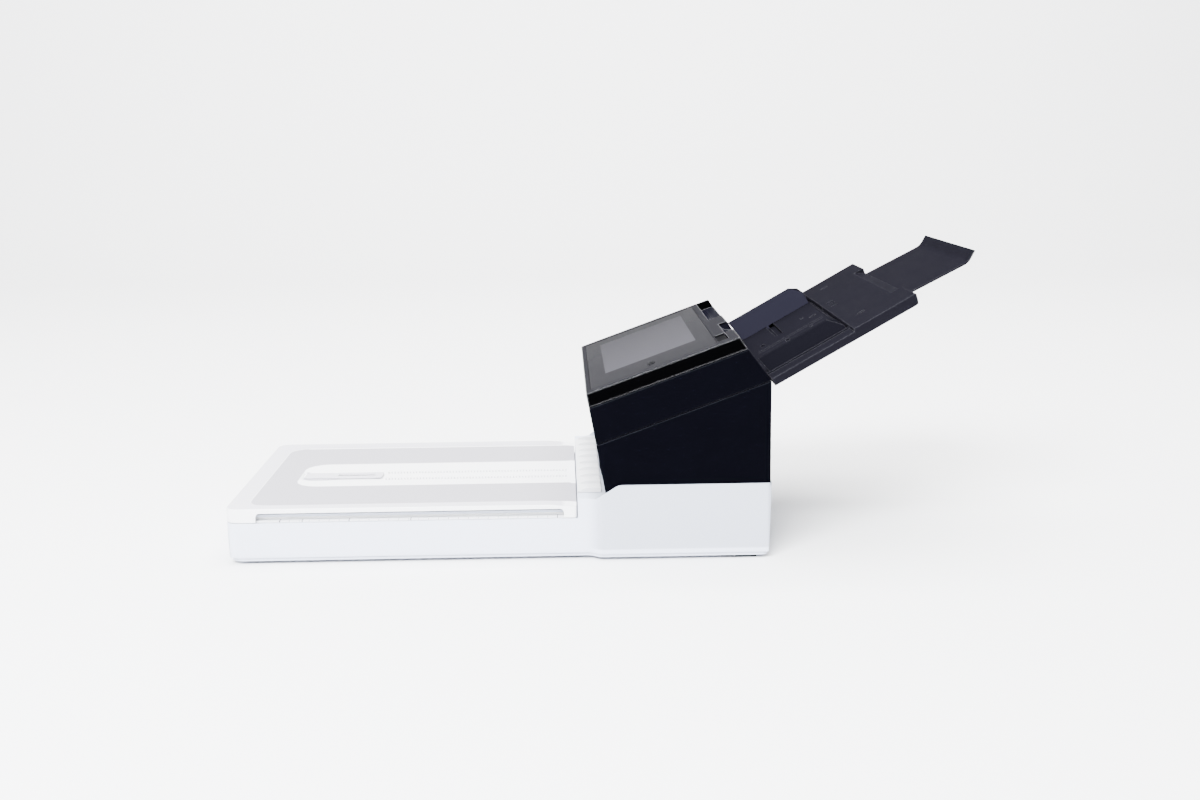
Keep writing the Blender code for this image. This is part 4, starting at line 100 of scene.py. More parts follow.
class Paint:
    def __init__(self, name):
        self.material = bpy.data.materials.new(name)
        self.material.use_nodes = True
        self.tree = self.material.node_tree
        self.shader = self.tree.nodes["Principled BSDF"]

    def node(self, kind, settings=None, values=None, out=0):
        made = self.tree.nodes.new(kind)
        for key, value in (settings or {}).items():
            setattr(made, key, value)
        for key, value in (values or {}).items():
            self.feed(made.inputs[key], value)
        return Field(self, made.outputs[out])

    def feed(self, socket, value):
        if isinstance(value, Field):
            self.tree.links.new(value.socket, socket)
        else:
            socket.default_value = value

    def set(self, **values):
        for key, value in values.items():
            self.feed(self.shader.inputs[key.replace("_", " ")], value)

    def spot(self):
        return self.node("ShaderNodeTexCoord", out="Object")

    def along(self, axis, start=(0, 0, 0)):
        # distance of the shaded point from start, measured along axis
        moved = self.node("ShaderNodeVectorMath", {"operation": "SUBTRACT"}, {0: self.spot(), 1: start})
        return self.node("ShaderNodeVectorMath", {"operation": "DOT_PRODUCT"}, {0: moved, 1: axis}, "Value")

    def within(self, value, low, high, soft=0.0002):
        # 1 between low and high, with a soft edge
        up = self.node("ShaderNodeMapRange", {}, {0: value, 1: low - soft, 2: low + soft})
        down = self.node("ShaderNodeMapRange", {}, {0: value, 1: high - soft, 2: high + soft})
        return up * (1 - down)

    def noise(self, size, detail=3, stretch=(1, 1, 1)):
        spot = self.node("ShaderNodeMapping", {}, {"Vector": self.spot(), "Scale": stretch})
        return self.node("ShaderNodeTexNoise", {}, {"Vector": spot, "Scale": 1 / size, "Detail": detail})

    def blend(self, share, first, second):
        return self.node("ShaderNodeMix", {"data_type": "RGBA"}, {0: share, 6: first, 7: second}, 2)

    def bump(self, height, depth, normal=None):
        values = {"Height": height, "Distance": depth, "Strength": 1.0}
        if normal:
            values["Normal"] = normal
        return self.node("ShaderNodeBump", {}, values)

    def edges(self, radius):
        # the rounded normal, and a mask that is 1 on convex edges
        soft = self.node("ShaderNodeBevel", {"samples": 4}, {"Radius": radius})
        plain = self.node("ShaderNodeNewGeometry", out="Normal")
        turned = self.node("ShaderNodeVectorMath", {"operation": "DOT_PRODUCT"}, {0: soft, 1: plain}, "Value")
        return soft, self.node("ShaderNodeMapRange", {}, {0: turned, 1: 0.995, 2: 0.90})

    def facing(self, direction):
        # 1 where the surface looks along direction, 0 where it is square to it
        normal = self.node("ShaderNodeTexCoord", out="Normal")
        return self.node("ShaderNodeVectorMath", {"operation": "DOT_PRODUCT"}, {0: normal, 1: direction}, "Value")


def tint(colour, share):
    return tuple(min(1, channel * share) for channel in colour) + (1,)


def mouldedPlastic(name, look):
    # fine spark-eroded grain, faint cloudy colour, paler edges that are partly rubbed wear and partly a painted
    # highlight, wiping marks in the sheen
    paint = Paint(name)
    soft, edge = paint.edges(look["edge"])
    cloud = paint.noise(look["cloud"], 2)
    grain = paint.noise(look["grain"], 2)
    colour = paint.blend(cloud, tint(look["colour"], 1 - look["shift"]), tint(look["colour"], 1 + look["shift"]))
    colour = paint.blend(grain * look["speck"], colour, (*look["rim"], 1))
    # convex edges are painted paler, partly as rubbed wear and partly as a painted highlight
    colour = paint.blend(edge * look["wear"], colour, (*look["rim"], 1))
    if "inner" in look:    # painted reflection: the faces that look towards the middle are painted paler
        paintedSheenFaces = paint.facing((1, 0, 0)) * paint.along((1, 0, 0)).math("SIGN") * -1
        colour = paint.blend(paint.within(paintedSheenFaces, 0.8, 2, 0.05), colour, tint(look["colour"], look["inner"]))
    if "rear" in look:    # the block under the feeder is a shade greyer
        behind = paint.within(paint.along((0, 1, 0)), look["rearFrom"], 1, 0.006)
        above = paint.within(paint.along((0, 0, 1)), look["rearAbove"], 1, 0.001)
        colour = paint.blend(behind * above, colour, tint(look["colour"], look["rear"]))
    if "corner" in look:    # painted shade: a greyer tone where faces meet, from ambient occlusion
        clear = paint.node("ShaderNodeAmbientOcclusion", {"samples": 6}, {"Distance": look["reach"]}, "AO")
        colour = paint.blend((1 - clear) * look["corner"], colour, tint(look["colour"], look["cornerTone"]))
    smudge = paint.noise(look["smudgeSize"], 4)
    paint.set(Base_Color=colour,
              Roughness=look["rough"] + (smudge - 0.5) * look["smudge"] - edge * look["polish"],
              Normal=paint.bump(grain, look["depth"], soft),
              Specular_IOR_Level=look["shine"])
    return paint


# What every moulded plastic shares: lengths in metres, shares between 0 and 1
plainPlastic = dict(rough=0.42, edge=0.0004, cloud=0.03, grain=0.0006, shift=0.02, speck=0.05, wear=0.3, smudge=0.08,
                    polish=0.1, depth=0.00002, shine=0.4, smudgeSize=0.035, cornerTone=0.35, rearFrom=-0.012,
                    rearAbove=0.011)
plasticLooks = {
    "whiteCase": dict(colour=(0.63, 0.67, 0.79), rim=(0.90, 0.90, 0.92), edge=0.0006, cloud=0.05, shift=0.012,
                      speck=0.04, polish=0.08, corner=0.6, reach=0.012, rear=0.66),
    "finWhite": dict(colour=(0.80, 0.80, 0.83), rim=(0.92, 0.92, 0.93), speck=0.04, wear=0.5, polish=0.08,
                     corner=0.95, reach=0.022),
    "stopperGrey": dict(colour=(0.52, 0.51, 0.56), rim=(0.90, 0.90, 0.92), rough=0.44, speck=0.04, wear=0.4,
                        smudge=0.06, polish=0.08),
    "blackCase": dict(colour=(0.0007, 0.0007, 0.0015), rim=(0.10, 0.105, 0.13), rough=0.46, edge=0.0007, grain=0.0008,
                      shift=0.16, speck=0.006, wear=0.6, smudge=0.10, depth=0.00006, shine=0.0008),
    "charcoalCase": dict(colour=(0.0042, 0.0040, 0.0060), rim=(0.11, 0.11, 0.12), edge=0.0006, grain=0.0007,
                         shift=0.08, speck=0.010, smudge=0.10, depth=0.00004, shine=0.0001),
    "guideCase": dict(colour=(0.0026, 0.0025, 0.0040), rim=(0.11, 0.11, 0.12), edge=0.0006, grain=0.0007, shift=0.08,
                      speck=0.010, smudge=0.10, depth=0.00004, shine=0.0001, inner=4.6),
    "keyGrey": dict(colour=(0.045, 0.045, 0.052), rim=(0.22, 0.22, 0.24), rough=0.45, cloud=0.02, shift=0.04,
                    wear=0.5, shine=0.25),
    "keyBlack": dict(colour=(0.0012, 0.0012, 0.0018), rim=(0.12, 0.12, 0.13), rough=0.36, edge=0.0005, cloud=0.02,
                     shift=0.10, speck=0.008, wear=0.35, shine=0.0004),
    "inkGrey": dict(colour=(0.10, 0.10, 0.12), rim=(0.3, 0.3, 0.32), rough=0.5, edge=0.0001, cloud=0.02, shift=0.10,
                    wear=0.2, depth=0.00001, shine=0.2),
    "gearWhite": dict(colour=(0.70, 0.70, 0.68), rim=(0.85, 0.85, 0.84), rough=0.5, edge=0.0003, cloud=0.01,
                      grain=0.0005, shift=0.03, depth=0.00001, shine=0.5),
    "whiteMat": dict(colour=(0.86, 0.86, 0.85), rim=(0.92, 0.92, 0.91), rough=0.68, cloud=0.05, grain=0.0012,
                     speck=0.06, wear=0.1, smudge=0.05, polish=0.0, depth=0.00005, shine=0.3),
    "softRubber": dict(colour=(0.014, 0.014, 0.015), rim=(0.08, 0.08, 0.08), rough=0.82, cloud=0.01, grain=0.0009,
                       shift=0.12, speck=0.08, depth=0.00008, shine=0.25),
    "sensorStrip": dict(colour=(0.010, 0.010, 0.012), rim=(0.06, 0.06, 0.07), rough=0.18, grain=0.003, shift=0.06,
                        smudge=0.05, polish=0.0, depth=0.00001, shine=0.5),
}
finishes = {name: mouldedPlastic(name, {**plainPlastic, **look}).material for name, look in plasticLooks.items()}


def brushedSteel(name, look):
    # streaks along the rolling direction and a faint zinc bloom
    paint = Paint(name)
    soft, edge = paint.edges(0.0004)
    streak = paint.noise(look["streak"], 3, look["stretch"])
    bloom = paint.node("ShaderNodeTexVoronoi", {"feature": "F1"},
                       {"Vector": paint.spot(), "Scale": 1 / look["bloom"]}, "Color")
    colour = paint.blend(streak * 0.5, tint(look["colour"], 0.86), tint(look["colour"], 1.08))
    colour = paint.blend(0.08, colour, bloom)
    paint.set(Base_Color=colour, Metallic=1.0, Roughness=look["rough"] + (streak - 0.5) * 0.25 - edge * 0.05,
              Normal=paint.bump(streak, 0.00001, soft))
    return paint


steelLooks = {
    "zincSteel": dict(colour=(0.56, 0.57, 0.60), rough=0.34, streak=0.004, stretch=(1, 12, 1), bloom=0.006),
    "turnedSteel": dict(colour=(0.62, 0.62, 0.63), rough=0.24, streak=0.002, stretch=(14, 1, 1), bloom=0.01),
}
finishes.update({name: brushedSteel(name, look).material for name, look in steelLooks.items()})
print("finishes mixed:", len(finishes))


# The touch panel: dark border, a paler screen under the glass, faint wiping marks
panelLook = {
    "border": (0.0082, 0.0080, 0.0096), "screen": (0.030, 0.029, 0.034), "screenFar": (0.018, 0.0175, 0.0205),
    "low": (-0.112, 0.023), "high": (0.083, 0.1226), "rough": 0.16,
}


def mixPanelGlass(look):
    paint = Paint("panelGlass")
    up = panelFrame.to_3x3() @ Vector((0, 1, 0))
    start = panelFrame.translation
    side = paint.along((1, 0, 0))
    climb = paint.along(up, start)
    lit = (paint.within(side, look["low"][0], look["high"][0])
           * paint.within(climb, look["low"][1], look["high"][1]))
    fade = paint.node("ShaderNodeMapRange", {}, {0: side, 1: look["low"][0], 2: look["high"][0]})
    screen = paint.blend(fade, (*look["screenFar"], 1), (*look["screen"], 1))
    wipe = paint.noise(0.05, 4, (1, 3, 3))
    paint.set(Base_Color=paint.blend(lit, (*look["border"], 1), screen),
              Roughness=look["rough"] + (wipe - 0.5) * 0.07 + lit * 0.05, Specular_IOR_Level=0.0003)
    return paint


def mixClearGlass():
    paint = Paint("platenGlass")
    dust = paint.noise(0.02, 4)
    paint.set(Base_Color=paint.blend(dust, (0.42, 0.52, 0.50, 1), (0.50, 0.58, 0.56, 1)),
              Roughness=0.03 + dust * 0.05, Alpha=0.32 + dust * 0.06, IOR=1.52)
    return paint


def mixBoard():
    # solder mask over copper tracks that run in two directions
    paint = Paint("circuitBoard")
    tracks = paint.node("ShaderNodeTexBrick", {"offset": 0.37, "squash": 1.0},
                        {"Vector": paint.spot(), "Scale": 260.0, "Mortar Size": 0.10, "Brick Width": 0.9,
                         "Row Height": 0.22, "Color1": (0, 0, 0, 1), "Color2": (0, 0, 0, 1),
                         "Mortar": (1, 1, 1, 1)}, "Fac")
    cloud = paint.noise(0.03, 2)
    base = paint.blend(cloud, (0.012, 0.125, 0.055, 1), (0.016, 0.155, 0.07, 1))
    paint.set(Base_Color=paint.blend(tracks * 0.55, base, (0.05, 0.26, 0.12, 1)), Roughness=0.32 + cloud * 0.1,
              Normal=paint.bump(tracks, 0.00004))
    return paint


# The lid: satin rim and groove; painted shade makes the field on the sunk top face greyer, and the level rim top a
# little greyer
lidLook = {
    "paintedShadeField": (0.33, 0.32, 0.355), "rim": (0.86, 0.86, 0.88), "upper": (0.56, 0.55, 0.60), "rough": 0.46,
    "top": 0.0575 - 0.0023, "under": 0.00015, "over": 0.00035, "halfWidth": 0.1312,
    "slopeFrom": -0.036, "slopeLow": 0.0505, "channelHalf": 0.0535,
}


def mixLidCase(look):
    paint = Paint("lidCase")
    soft, edge = paint.edges(0.0006)
    height = paint.along((0, 0, 1))
    beside = paint.along((1, 0, 0)).math("ABSOLUTE")
    ceiling = look["top"] + look["over"]
    # painted shade also covers the field's rear end, which slopes down on both sides of the channel
    falling = paint.within(paint.along((0, 1, 0), (0, places["backShift"] + look["slopeFrom"], 0)), -0.0005, 0.1)
    falling = falling * paint.within(height, look["slopeLow"], ceiling)
    falling = falling * paint.within(beside, look["channelHalf"], look["halfWidth"])
    paintedShadeField = paint.within(height, look["top"] - look["under"], ceiling, 0.00012)
    paintedShadeField = (paintedShadeField * paint.within(beside, -1, look["halfWidth"])).math("MAXIMUM", falling)
    cloud = paint.noise(0.05, 2)
    grain = paint.noise(0.0007, 2)
    sunk = paint.blend(cloud, tint(look["paintedShadeField"], 0.975), tint(look["paintedShadeField"], 1.02))
    # painted shade: the level rim top is painted greyer than the sides, and the field inside it greyer still
    level = paint.within(paint.facing((0, 0, 1)), 0.75, 2, 0.2) * paint.within(height, look["top"] + 0.0005, 1, 0.0002)
    colour = paint.blend(paintedShadeField, paint.blend(level, tint(look["rim"], 1), tint(look["upper"], 1)), sunk)
    # painted highlight: convex edges are painted paler
    colour = paint.blend(edge * 0.3, colour, (0.93, 0.93, 0.94, 1))
    paint.set(Base_Color=colour, Roughness=look["rough"] + paintedShadeField * 0.08 + (cloud - 0.5) * 0.06,
              Normal=paint.bump(grain, 0.00003, soft), Specular_IOR_Level=0.4)
    return paint


# The panel's frame: gloss black round the sides, mottled satin on top with a painted reflection that makes it paler,
# and a painted highlight along the outer edges
bezelLook = {
    "deep": (0.0034, 0.0034, 0.0058), "side": (0.0004, 0.0004, 0.0005), "top": (0.0092, 0.0090, 0.0108),
    "rim": (0.30, 0.30, 0.32),
    "recess": {"depth": (-0.0105, -0.0018), "climb": (0.1450, 0.1644), "half": 0.1554},
    "glass": {"climb": (0.003, 0.1420), "half": 0.1485},
}


def mixBezel(look):
    paint = Paint("glossBand")
    soft, edge = paint.edges(0.0008)
    out = panelFrame.to_3x3() @ Vector((0, 0, 1))
    # painted reflection: faces that look out of the panel get the paler top tone, over a real mottled grain
    top = paint.node("ShaderNodeMapRange", {}, {0: paint.facing(out), 1: 0.93, 2: 0.985})
    mottle = paint.noise(0.0011, 3)
    upper = paint.blend(mottle, tint(look["top"], 0.75), tint(look["top"], 1.25))
    colour = paint.blend(top, tint(look["side"], 1), upper)
    depth = paint.along(out, panelFrame.translation)
    climb = paint.along(panelFrame.to_3x3() @ Vector((0, 1, 0)), panelFrame.translation)
    across = paint.along((1, 0, 0)).math("ABSOLUTE")
    recess, glass = look["recess"], look["glass"]
    sunk = (paint.within(depth, *recess["depth"]) * paint.within(climb, *recess["climb"])
            * paint.within(across, -1, recess["half"]))
    colour = paint.blend(sunk, colour, tint(look["deep"], 1))
    # painted highlight: only the outer edges are painted bright, not those round the glass
    inside = paint.within(climb, *glass["climb"]) * paint.within(across, -1, glass["half"])
    colour = paint.blend(edge * (1 - inside) * 0.45, colour, (*look["rim"], 1))
    smudge = paint.noise(0.03, 4)
    paint.set(Base_Color=colour, Roughness=0.13 + top * 0.30 + (smudge - 0.5) * 0.06,
              Normal=paint.bump(mottle * top, 0.00004, soft), Specular_IOR_Level=0.0004)
    return paint


# Rollers: a turned steel shaft, and tyres of grooved rubber or white plastic round it
rollerLook = {"nodes": {"feed_roller": 0.0052, "transport_roller": 0.0042, "exit_roller": 0.0042,
                        "separation_roller": 0.0042, "transport_idler": 0.0026, "exit_idler": 0.0026},
              "tyre": (0.016, 0.017, 0.021), "worn": (0.045, 0.045, 0.050), "plastic": (0.62, 0.62, 0.60),
              "steel": (0.62, 0.62, 0.63), "groove": 0.0016}


def mixRoller(node, shaft, look):
    paint = Paint(node)
    low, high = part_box(node)
    middle = (Vector(low) + Vector(high)) / 2
    out, up = paint.along((0, 1, 0), middle), paint.along((0, 0, 1), middle)
    radius = (out * out + up * up).math("SQRT")
    tyre = paint.within(radius, shaft, 1, 0.0001)
    side = paint.along((1, 0, 0))
    groove = (side * (math.tau / look["groove"])).math("SINE") * 0.5 + 0.5
    wear = paint.noise(0.004, 4, (0.3, 1, 1))
    idler = "idler" in node
    skin = tint(look["plastic"], 1) if idler else paint.blend(wear, (*look["tyre"], 1), (*look["worn"], 1))
    streak = paint.noise(0.002, 3, (14, 1, 1))
    steel = paint.blend(streak, tint(look["steel"], 0.8), tint(look["steel"], 1.05))
    paint.set(Base_Color=paint.blend(tyre, steel, skin), Metallic=1 - tyre,
              Roughness=paint.blend(tyre, (0.24, 0.24, 0.24, 1), (0.75, 0.75, 0.75, 1)),
              Normal=paint.bump(groove * tyre + wear * 0.4, 0.00003 if idler else 0.00012), Specular_IOR_Level=0.3)
    return paint


for node, shaft in rollerLook["nodes"].items():
    finishes[node] = mixRoller(node, shaft, rollerLook).material
finishes["lidCase"] = mixLidCase(lidLook).material
finishes["glossBand"] = mixBezel(bezelLook).material
finishes["panelGlass"] = mixPanelGlass(panelLook).material
finishes["platenGlass"] = mixClearGlass().material
finishes["circuitBoard"] = mixBoard().material


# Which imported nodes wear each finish
dressing = {
    "whiteCase": ["base_housing", "bottom_plate", "lid_liner"],
    "stopperGrey": ["stopper_slider", "stopper_flap"],
    "lidCase": ["lid_cover", "glass_frame"],
    "blackCase": ["adf_housing", "cover_shell", "carriage", "power_inlet"],
    "glossBand": ["panel_bezel"],
    "sensorStrip": ["lower_sensor", "upper_sensor", "carriage_sensor"],
    "charcoalCase": ["lower_guide", "upper_guide", "input_tray", "tray_underside", "tray_extension"],
    "guideCase": ["guide_near", "guide_far"],
    "keyGrey": ["lid_hinge_front", "lid_hinge_rear"],
    "keyBlack": ["power_key", "release_button"],
    "gearWhite": ["belt_drive_pulley", "belt_idler_pulley", "motor_pulley", "guide_pinion"],
    "whiteMat": ["lid_mat"],
    "softRubber": ["foot_front_left", "foot_front_right", "foot_rear_left", "foot_rear_right", "carriage_belt",
                   "drive_belt"],
    "zincSteel": ["side_frame_left", "side_frame_right", "carriage_motor", "adf_motor", "usb_port", "lan_port"],
    **{node: [node] for node in rollerLook["nodes"]},
    "turnedSteel": ["carriage_rod", "cover_pin_left", "cover_pin_right"],
    "panelGlass": ["touch_glass", "display_module"],
    "platenGlass": ["platen_glass"],
    "circuitBoard": ["main_board", "panel_board"],
}


def linked(name, data):
    thing = bpy.data.objects.new(name, data)
    bpy.context.scene.collection.objects.link(thing)
    return thing


def evaluated(holder):
    # what an object's modifiers make of it, as a plain mesh
    graph = bpy.context.evaluated_depsgraph_get()
    return bpy.data.meshes.new_from_object(holder.evaluated_get(graph), depsgraph=graph)


def place(name, mesh, material, body):
    # a finished piece: its object at the origin, its place in its mesh
    piece = linked(name, mesh)
    if material:
        mesh.materials.clear()
        mesh.materials.append(finishes[material])
    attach(piece, body)
    return piece


def smoothed(mesh, angle=35):
    # smooth shading that leaves the large flat faces flat
    mesh.shade_smooth()
    mesh.set_sharp_from_angle(angle=math.radians(angle))
    holder = linked("shading", mesh)
    weigh = holder.modifiers.new("weigh", "WEIGHTED_NORMAL")
    weigh.keep_sharp = True
    weigh.weight = 100
    done = evaluated(holder)
    bpy.data.objects.remove(holder)
    return done


def merged(mesh, flat):
    # join the points that meet, and make faces whole that turn by less than flat degrees
    builder = bmesh.new()
    builder.from_mesh(mesh)
    bmesh.ops.remove_doubles(builder, verts=builder.verts, dist=0.000002)
    bmesh.ops.dissolve_limit(builder, angle_limit=math.radians(flat), verts=builder.verts, edges=builder.edges)
    builder.to_mesh(mesh)
    builder.free()
    return mesh


def copyNode(node):
    mesh = frame["nodes"][node].data.copy()
    mesh.name = node + "_copy"
    return merged(mesh, 0.3)


# Tools for moulded details: plain closed blocks, discs and rings, placed in a sloping frame
def block(low, high, frameOf=bedFrame):
    mesh = bpy.data.meshes.new("block")
    builder = bmesh.new()
    low, high = Vector(low), Vector(high)
    spread = Matrix.Diagonal((*(high - low), 1))
    bmesh.ops.create_cube(builder, size=1, matrix=frameOf @ Matrix.Translation((low + high) / 2) @ spread)
    builder.to_mesh(mesh)
    builder.free()
    return mesh


def disc(radius, spot, low, high, frameOf=bedFrame, steps=28, stretch=(1, 1)):
    mesh = bpy.data.meshes.new("disc")
    builder = bmesh.new()
    middle = Matrix.Translation((spot[0], spot[1], (low + high) / 2)) @ Matrix.Diagonal((*stretch, 1, 1))
    bmesh.ops.create_cone(builder, cap_ends=True, segments=steps, radius1=radius, radius2=radius, depth=high - low,
                          matrix=frameOf @ middle)
    builder.to_mesh(mesh)
    builder.free()
    return mesh


def ring(inner, outer, spot, low, high, frameOf=bedFrame, steps=28):
    mesh = bpy.data.meshes.new("ring")
    builder = bmesh.new()
    line = [builder.verts.new((radius, 0, height)) for radius, height in
            ((inner, low), (outer, low), (outer, high), (inner, high))]
    edges = [builder.edges.new((line[index], line[(index + 1) % 4])) for index in range(4)]
    bmesh.ops.spin(builder, geom=line + edges, angle=math.tau, steps=steps, axis=(0, 0, 1), cent=(0, 0, 0),
                   use_merge=True)
    bmesh.ops.remove_doubles(builder, verts=builder.verts, dist=0.0000001)
    bmesh.ops.recalc_face_normals(builder, faces=builder.faces)
    builder.transform(frameOf @ Matrix.Translation((*spot, 0)))
    builder.to_mesh(mesh)
    builder.free()
    return mesh


def fused(meshes, name="fused"):
    builder = bmesh.new()
    for part in meshes:
        builder.from_mesh(part)
    mesh = bpy.data.meshes.new(name)
    builder.to_mesh(mesh)
    builder.free()
    return mesh


# Meshes that stand in for a node's own, by node
shapes = {}


def mould(node, cuts=(), adds=()):
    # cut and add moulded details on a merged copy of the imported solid
    holder = linked(node + "_blank", shapes.get(node) or copyNode(node))
    tools = []
    for operation, parts in (("DIFFERENCE", cuts), ("UNION", adds)):
        if not parts:
            continue
        tool = linked(node + "_tool", fused(parts))
        tools.append(tool)
        change = holder.modifiers.new("detail", "BOOLEAN")
        change.operation = operation
        change.solver = "EXACT"
        change.object = tool
    shapes[node] = merged(evaluated(holder), 0.4)
    for extra in (holder, *tools):
        bpy.data.objects.remove(extra)
    print("moulded", node, len(shapes[node].polygons), "faces")


# The input tray's bed and its upper deck, in the tray's own x, v and n
trayLook = {"bed": -0.003, "deck": 0.003, "lip": 0.0015, "lipEnd": 0.0007, "over": 0.001}
# marks cut into a face: kind, face, depth, then two corners of a block or the spot and radii of a round one
trayCuts = {
    "centreLineFar": ("block", "bed", 0.0005, (-0.0045, 0.0070), (-0.0037, 0.0865)),
    "centreLineNear": ("block", "bed", 0.0005, (0.0037, 0.0070), (0.0045, 0.0865)),
    "railNear": ("block", "bed", 0.0012, (0.1245, 0.0030), (0.1288, 0.0905)),
    "railFar": ("block", "bed", 0.0012, (-0.1288, 0.0030), (-0.1245, 0.0905)),
    "sensorSlot": ("block", "bed", 0.0060, (-0.0300, 0.0135), (-0.0200, 0.0178)),
    "latchDip": ("block", "bed", 0.0018, (0.0100, 0.0378), (0.0200, 0.0428)),
    "pinHole": ("disc", "bed", 0.0060, (-0.0320, 0.0800), 0.0026),
    "pinRing": ("ring", "bed", 0.0005, (-0.0320, 0.0800), (0.0036, 0.0042)),
    "deckNotch": ("block", "deck", 0.0055, (-0.0215, 0.0880), (-0.0165, 0.0935)),
    "nearRing": ("ring", "deck", 0.0008, (0.1055, 0.1135), (0.0036, 0.0046)),
    "nearDimple": ("disc", "deck", 0.0012, (0.1055, 0.1135), 0.0018),
    "farRing": ("ring", "deck", 0.0008, (-0.1110, 0.1145), (0.0036, 0.0046)),
    "gripFar": ("block", "deck", 0.0009, (-0.0240, 0.0995), (-0.0210, 0.1065)),
    "gripMiddle": ("block", "deck", 0.0009, (-0.0095, 0.0995), (-0.0065, 0.1065)),
    "gripNear": ("block", "deck", 0.0009, (0.0050, 0.0995), (0.0080, 0.1065)),
    "farGuideSlot": ("block", "bed", 0.0060, (-0.1172, 0.0334), (-0.0340, 0.0425)),
}


def stretched(node, frameOf, end, step):
    # draw out the lower end of a solid along its slope
    mesh = copyNode(node)
    back = frameOf.inverted()
    for vertex in mesh.vertices:
        spot = back @ vertex.co
        if spot.y < end:
            vertex.co = frameOf @ (spot + Vector((0, step, 0)))
    return mesh


def mouldTray(look, marks):
    bed = look["bed"]
    cuts = []
    for kind, face, depth, first, second in marks.values():
        low, high = look[face] - depth, look[face] + look["over"]
        if kind == "block":
            cuts.append(block((*first, low), (*second, high), trayFrame))
        elif kind == "disc":
            cuts.append(disc(second, first, low, high, trayFrame))
        else:
            cuts.append(ring(*second, first, low, high, trayFrame))
    adds = [disc(0.0020, spot, bed - 0.0005, bed + 0.0004, trayFrame, stretch=(2.2, 1))
            for spot in ((-0.051, 0.0696), (0.0125, 0.0698))]
    adds.append(block((-0.0975, 0.0905, bed - 0.0003), (0.0975, 0.0923, bed + 0.0009), trayFrame))
    shapes["input_tray"] = stretched("input_tray", trayFrame, look["lipEnd"], -look["lip"])
    mould("input_tray", cuts, adds)


mouldTray(trayLook, trayCuts)


# The panel frame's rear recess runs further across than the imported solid's
panelRecess = {"low": (-0.0745, 0.1465, -0.0100), "high": (-0.0100, 0.1700, 0.0020)}
mould("panel_bezel", [block(panelRecess["low"], panelRecess["high"], panelFrame)])


# The guides' lower ends lean towards the cover, and their upper ends reach the tray's deck
leanLook = {"end": 0.0028, "foot": -0.0027, "sole": 0.0013, "tall": 0.0263, "reach": 0.0055, "last": 0.0800,
            "longer": 0.0060}


def leanGuide(node, look):
    mesh = copyNode(node)
    back = trayFrame.inverted()
    for vertex in mesh.vertices:
        spot = back @ vertex.co
        if spot.y < look["end"] and spot.z > look["foot"] + look["sole"]:
            spot.y -= look["reach"] * (spot.z - look["foot"]) / look["tall"]
            vertex.co = trayFrame @ spot
        elif spot.y > look["last"]:
            spot.y += look["longer"]
            vertex.co = trayFrame @ spot
    shapes[node] = mesh


for node in ("guide_near", "guide_far"):
    leanGuide(node, leanLook)

for finish, nodes in dressing.items():
    for node in nodes:
        angle = 9 if node in ("panel_bezel", "input_tray") else 35    # cut faces stay flat
        mesh = smoothed(shapes.get(node) or copyNode(node), angle)
        piece = place("shape_" + node, mesh, finish, bodyOf[node])
        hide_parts(node)
print("nodes dressed:", sum(len(nodes) for nodes in dressing.values()))


# Geometry Nodes: a small writer for trees whose sizes are named inputs
class Grower:
    kinds = {int: "NodeSocketInt", float: "NodeSocketFloat", tuple: "NodeSocketVector"}

    def __init__(self, name, sizes):
        self.tree = bpy.data.node_groups.new(name, "GeometryNodeTree")
        face = self.tree.interface
        face.new_socket("Geometry", in_out="INPUT", socket_type="NodeSocketGeometry")
        face.new_socket("Geometry", in_out="OUTPUT", socket_type="NodeSocketGeometry")
        self.sizes = sizes
        self.keys = {key: face.new_socket(key, in_out="INPUT", socket_type=self.kinds[type(value)]).identifier
                     for key, value in sizes.items()}
        self.start = self.tree.nodes.new("NodeGroupInput")

    def given(self, key):
        return self.start.outputs[key]

    def node(self, kind, settings=None, values=None, out=0):
        made = self.tree.nodes.new(kind)
        for key, value in (settings or {}).items():
            setattr(made, key, value)
        for key, value in (values or {}).items():
            for item in value if isinstance(value, list) else [value]:
                if isinstance(item, bpy.types.NodeSocket):
                    self.tree.links.new(item, made.inputs[key])
                else:
                    made.inputs[key].default_value = item
        return made.outputs[out]

    def math(self, operation, first, second=0.0):
        return self.node("ShaderNodeMath", {"operation": operation}, {0: first, 1: second})

    def vector(self, x=0.0, y=0.0, z=0.0):
        return self.node("ShaderNodeCombineXYZ", {}, {0: x, 1: y, 2: z})

    def block(self, size):
        return self.node("GeometryNodeMeshCube", {}, {"Size": size}, "Mesh")

    def moved(self, geometry, spot):
        return self.node("GeometryNodeTransform", {}, {"Geometry": geometry, "Translation": spot})

    def joined(self, *parts):
        return self.node("GeometryNodeJoinGeometry", {}, {0: list(parts)})

    def onPoints(self, points, shape):
        return self.node("GeometryNodeInstanceOnPoints", {}, {"Points": points, "Instance": shape})

    def finish(self, geometry, finish):
        # every tree ends the same way, because only plain meshes are kept
        geometry = self.node("GeometryNodeRealizeInstances", {}, {"Geometry": geometry})
        geometry = self.node("GeometryNodeSetMaterial", {}, {"Geometry": geometry, "Material": finishes[finish]})
        end = self.tree.nodes.new("NodeGroupOutput")
        self.tree.links.new(geometry, end.inputs[0])


def grown(name, tree, body, base, frameOf, angle=35):
    # run a tree on a base mesh and keep the result as a plain mesh in its place
    carrier = linked(name + "_base", base or bpy.data.meshes.new(name + "_base"))
    modifier = carrier.modifiers.new("grow", "NODES")
    modifier.node_group = tree.tree
    for key, value in tree.sizes.items():
        modifier[tree.keys[key]] = value
    mesh = evaluated(carrier)
    carrier.modifiers.remove(modifier)
    bpy.data.objects.remove(carrier)
    mesh.name = name
    mesh.transform(frameOf)
    return place(name, smoothed(mesh, angle), None, body)


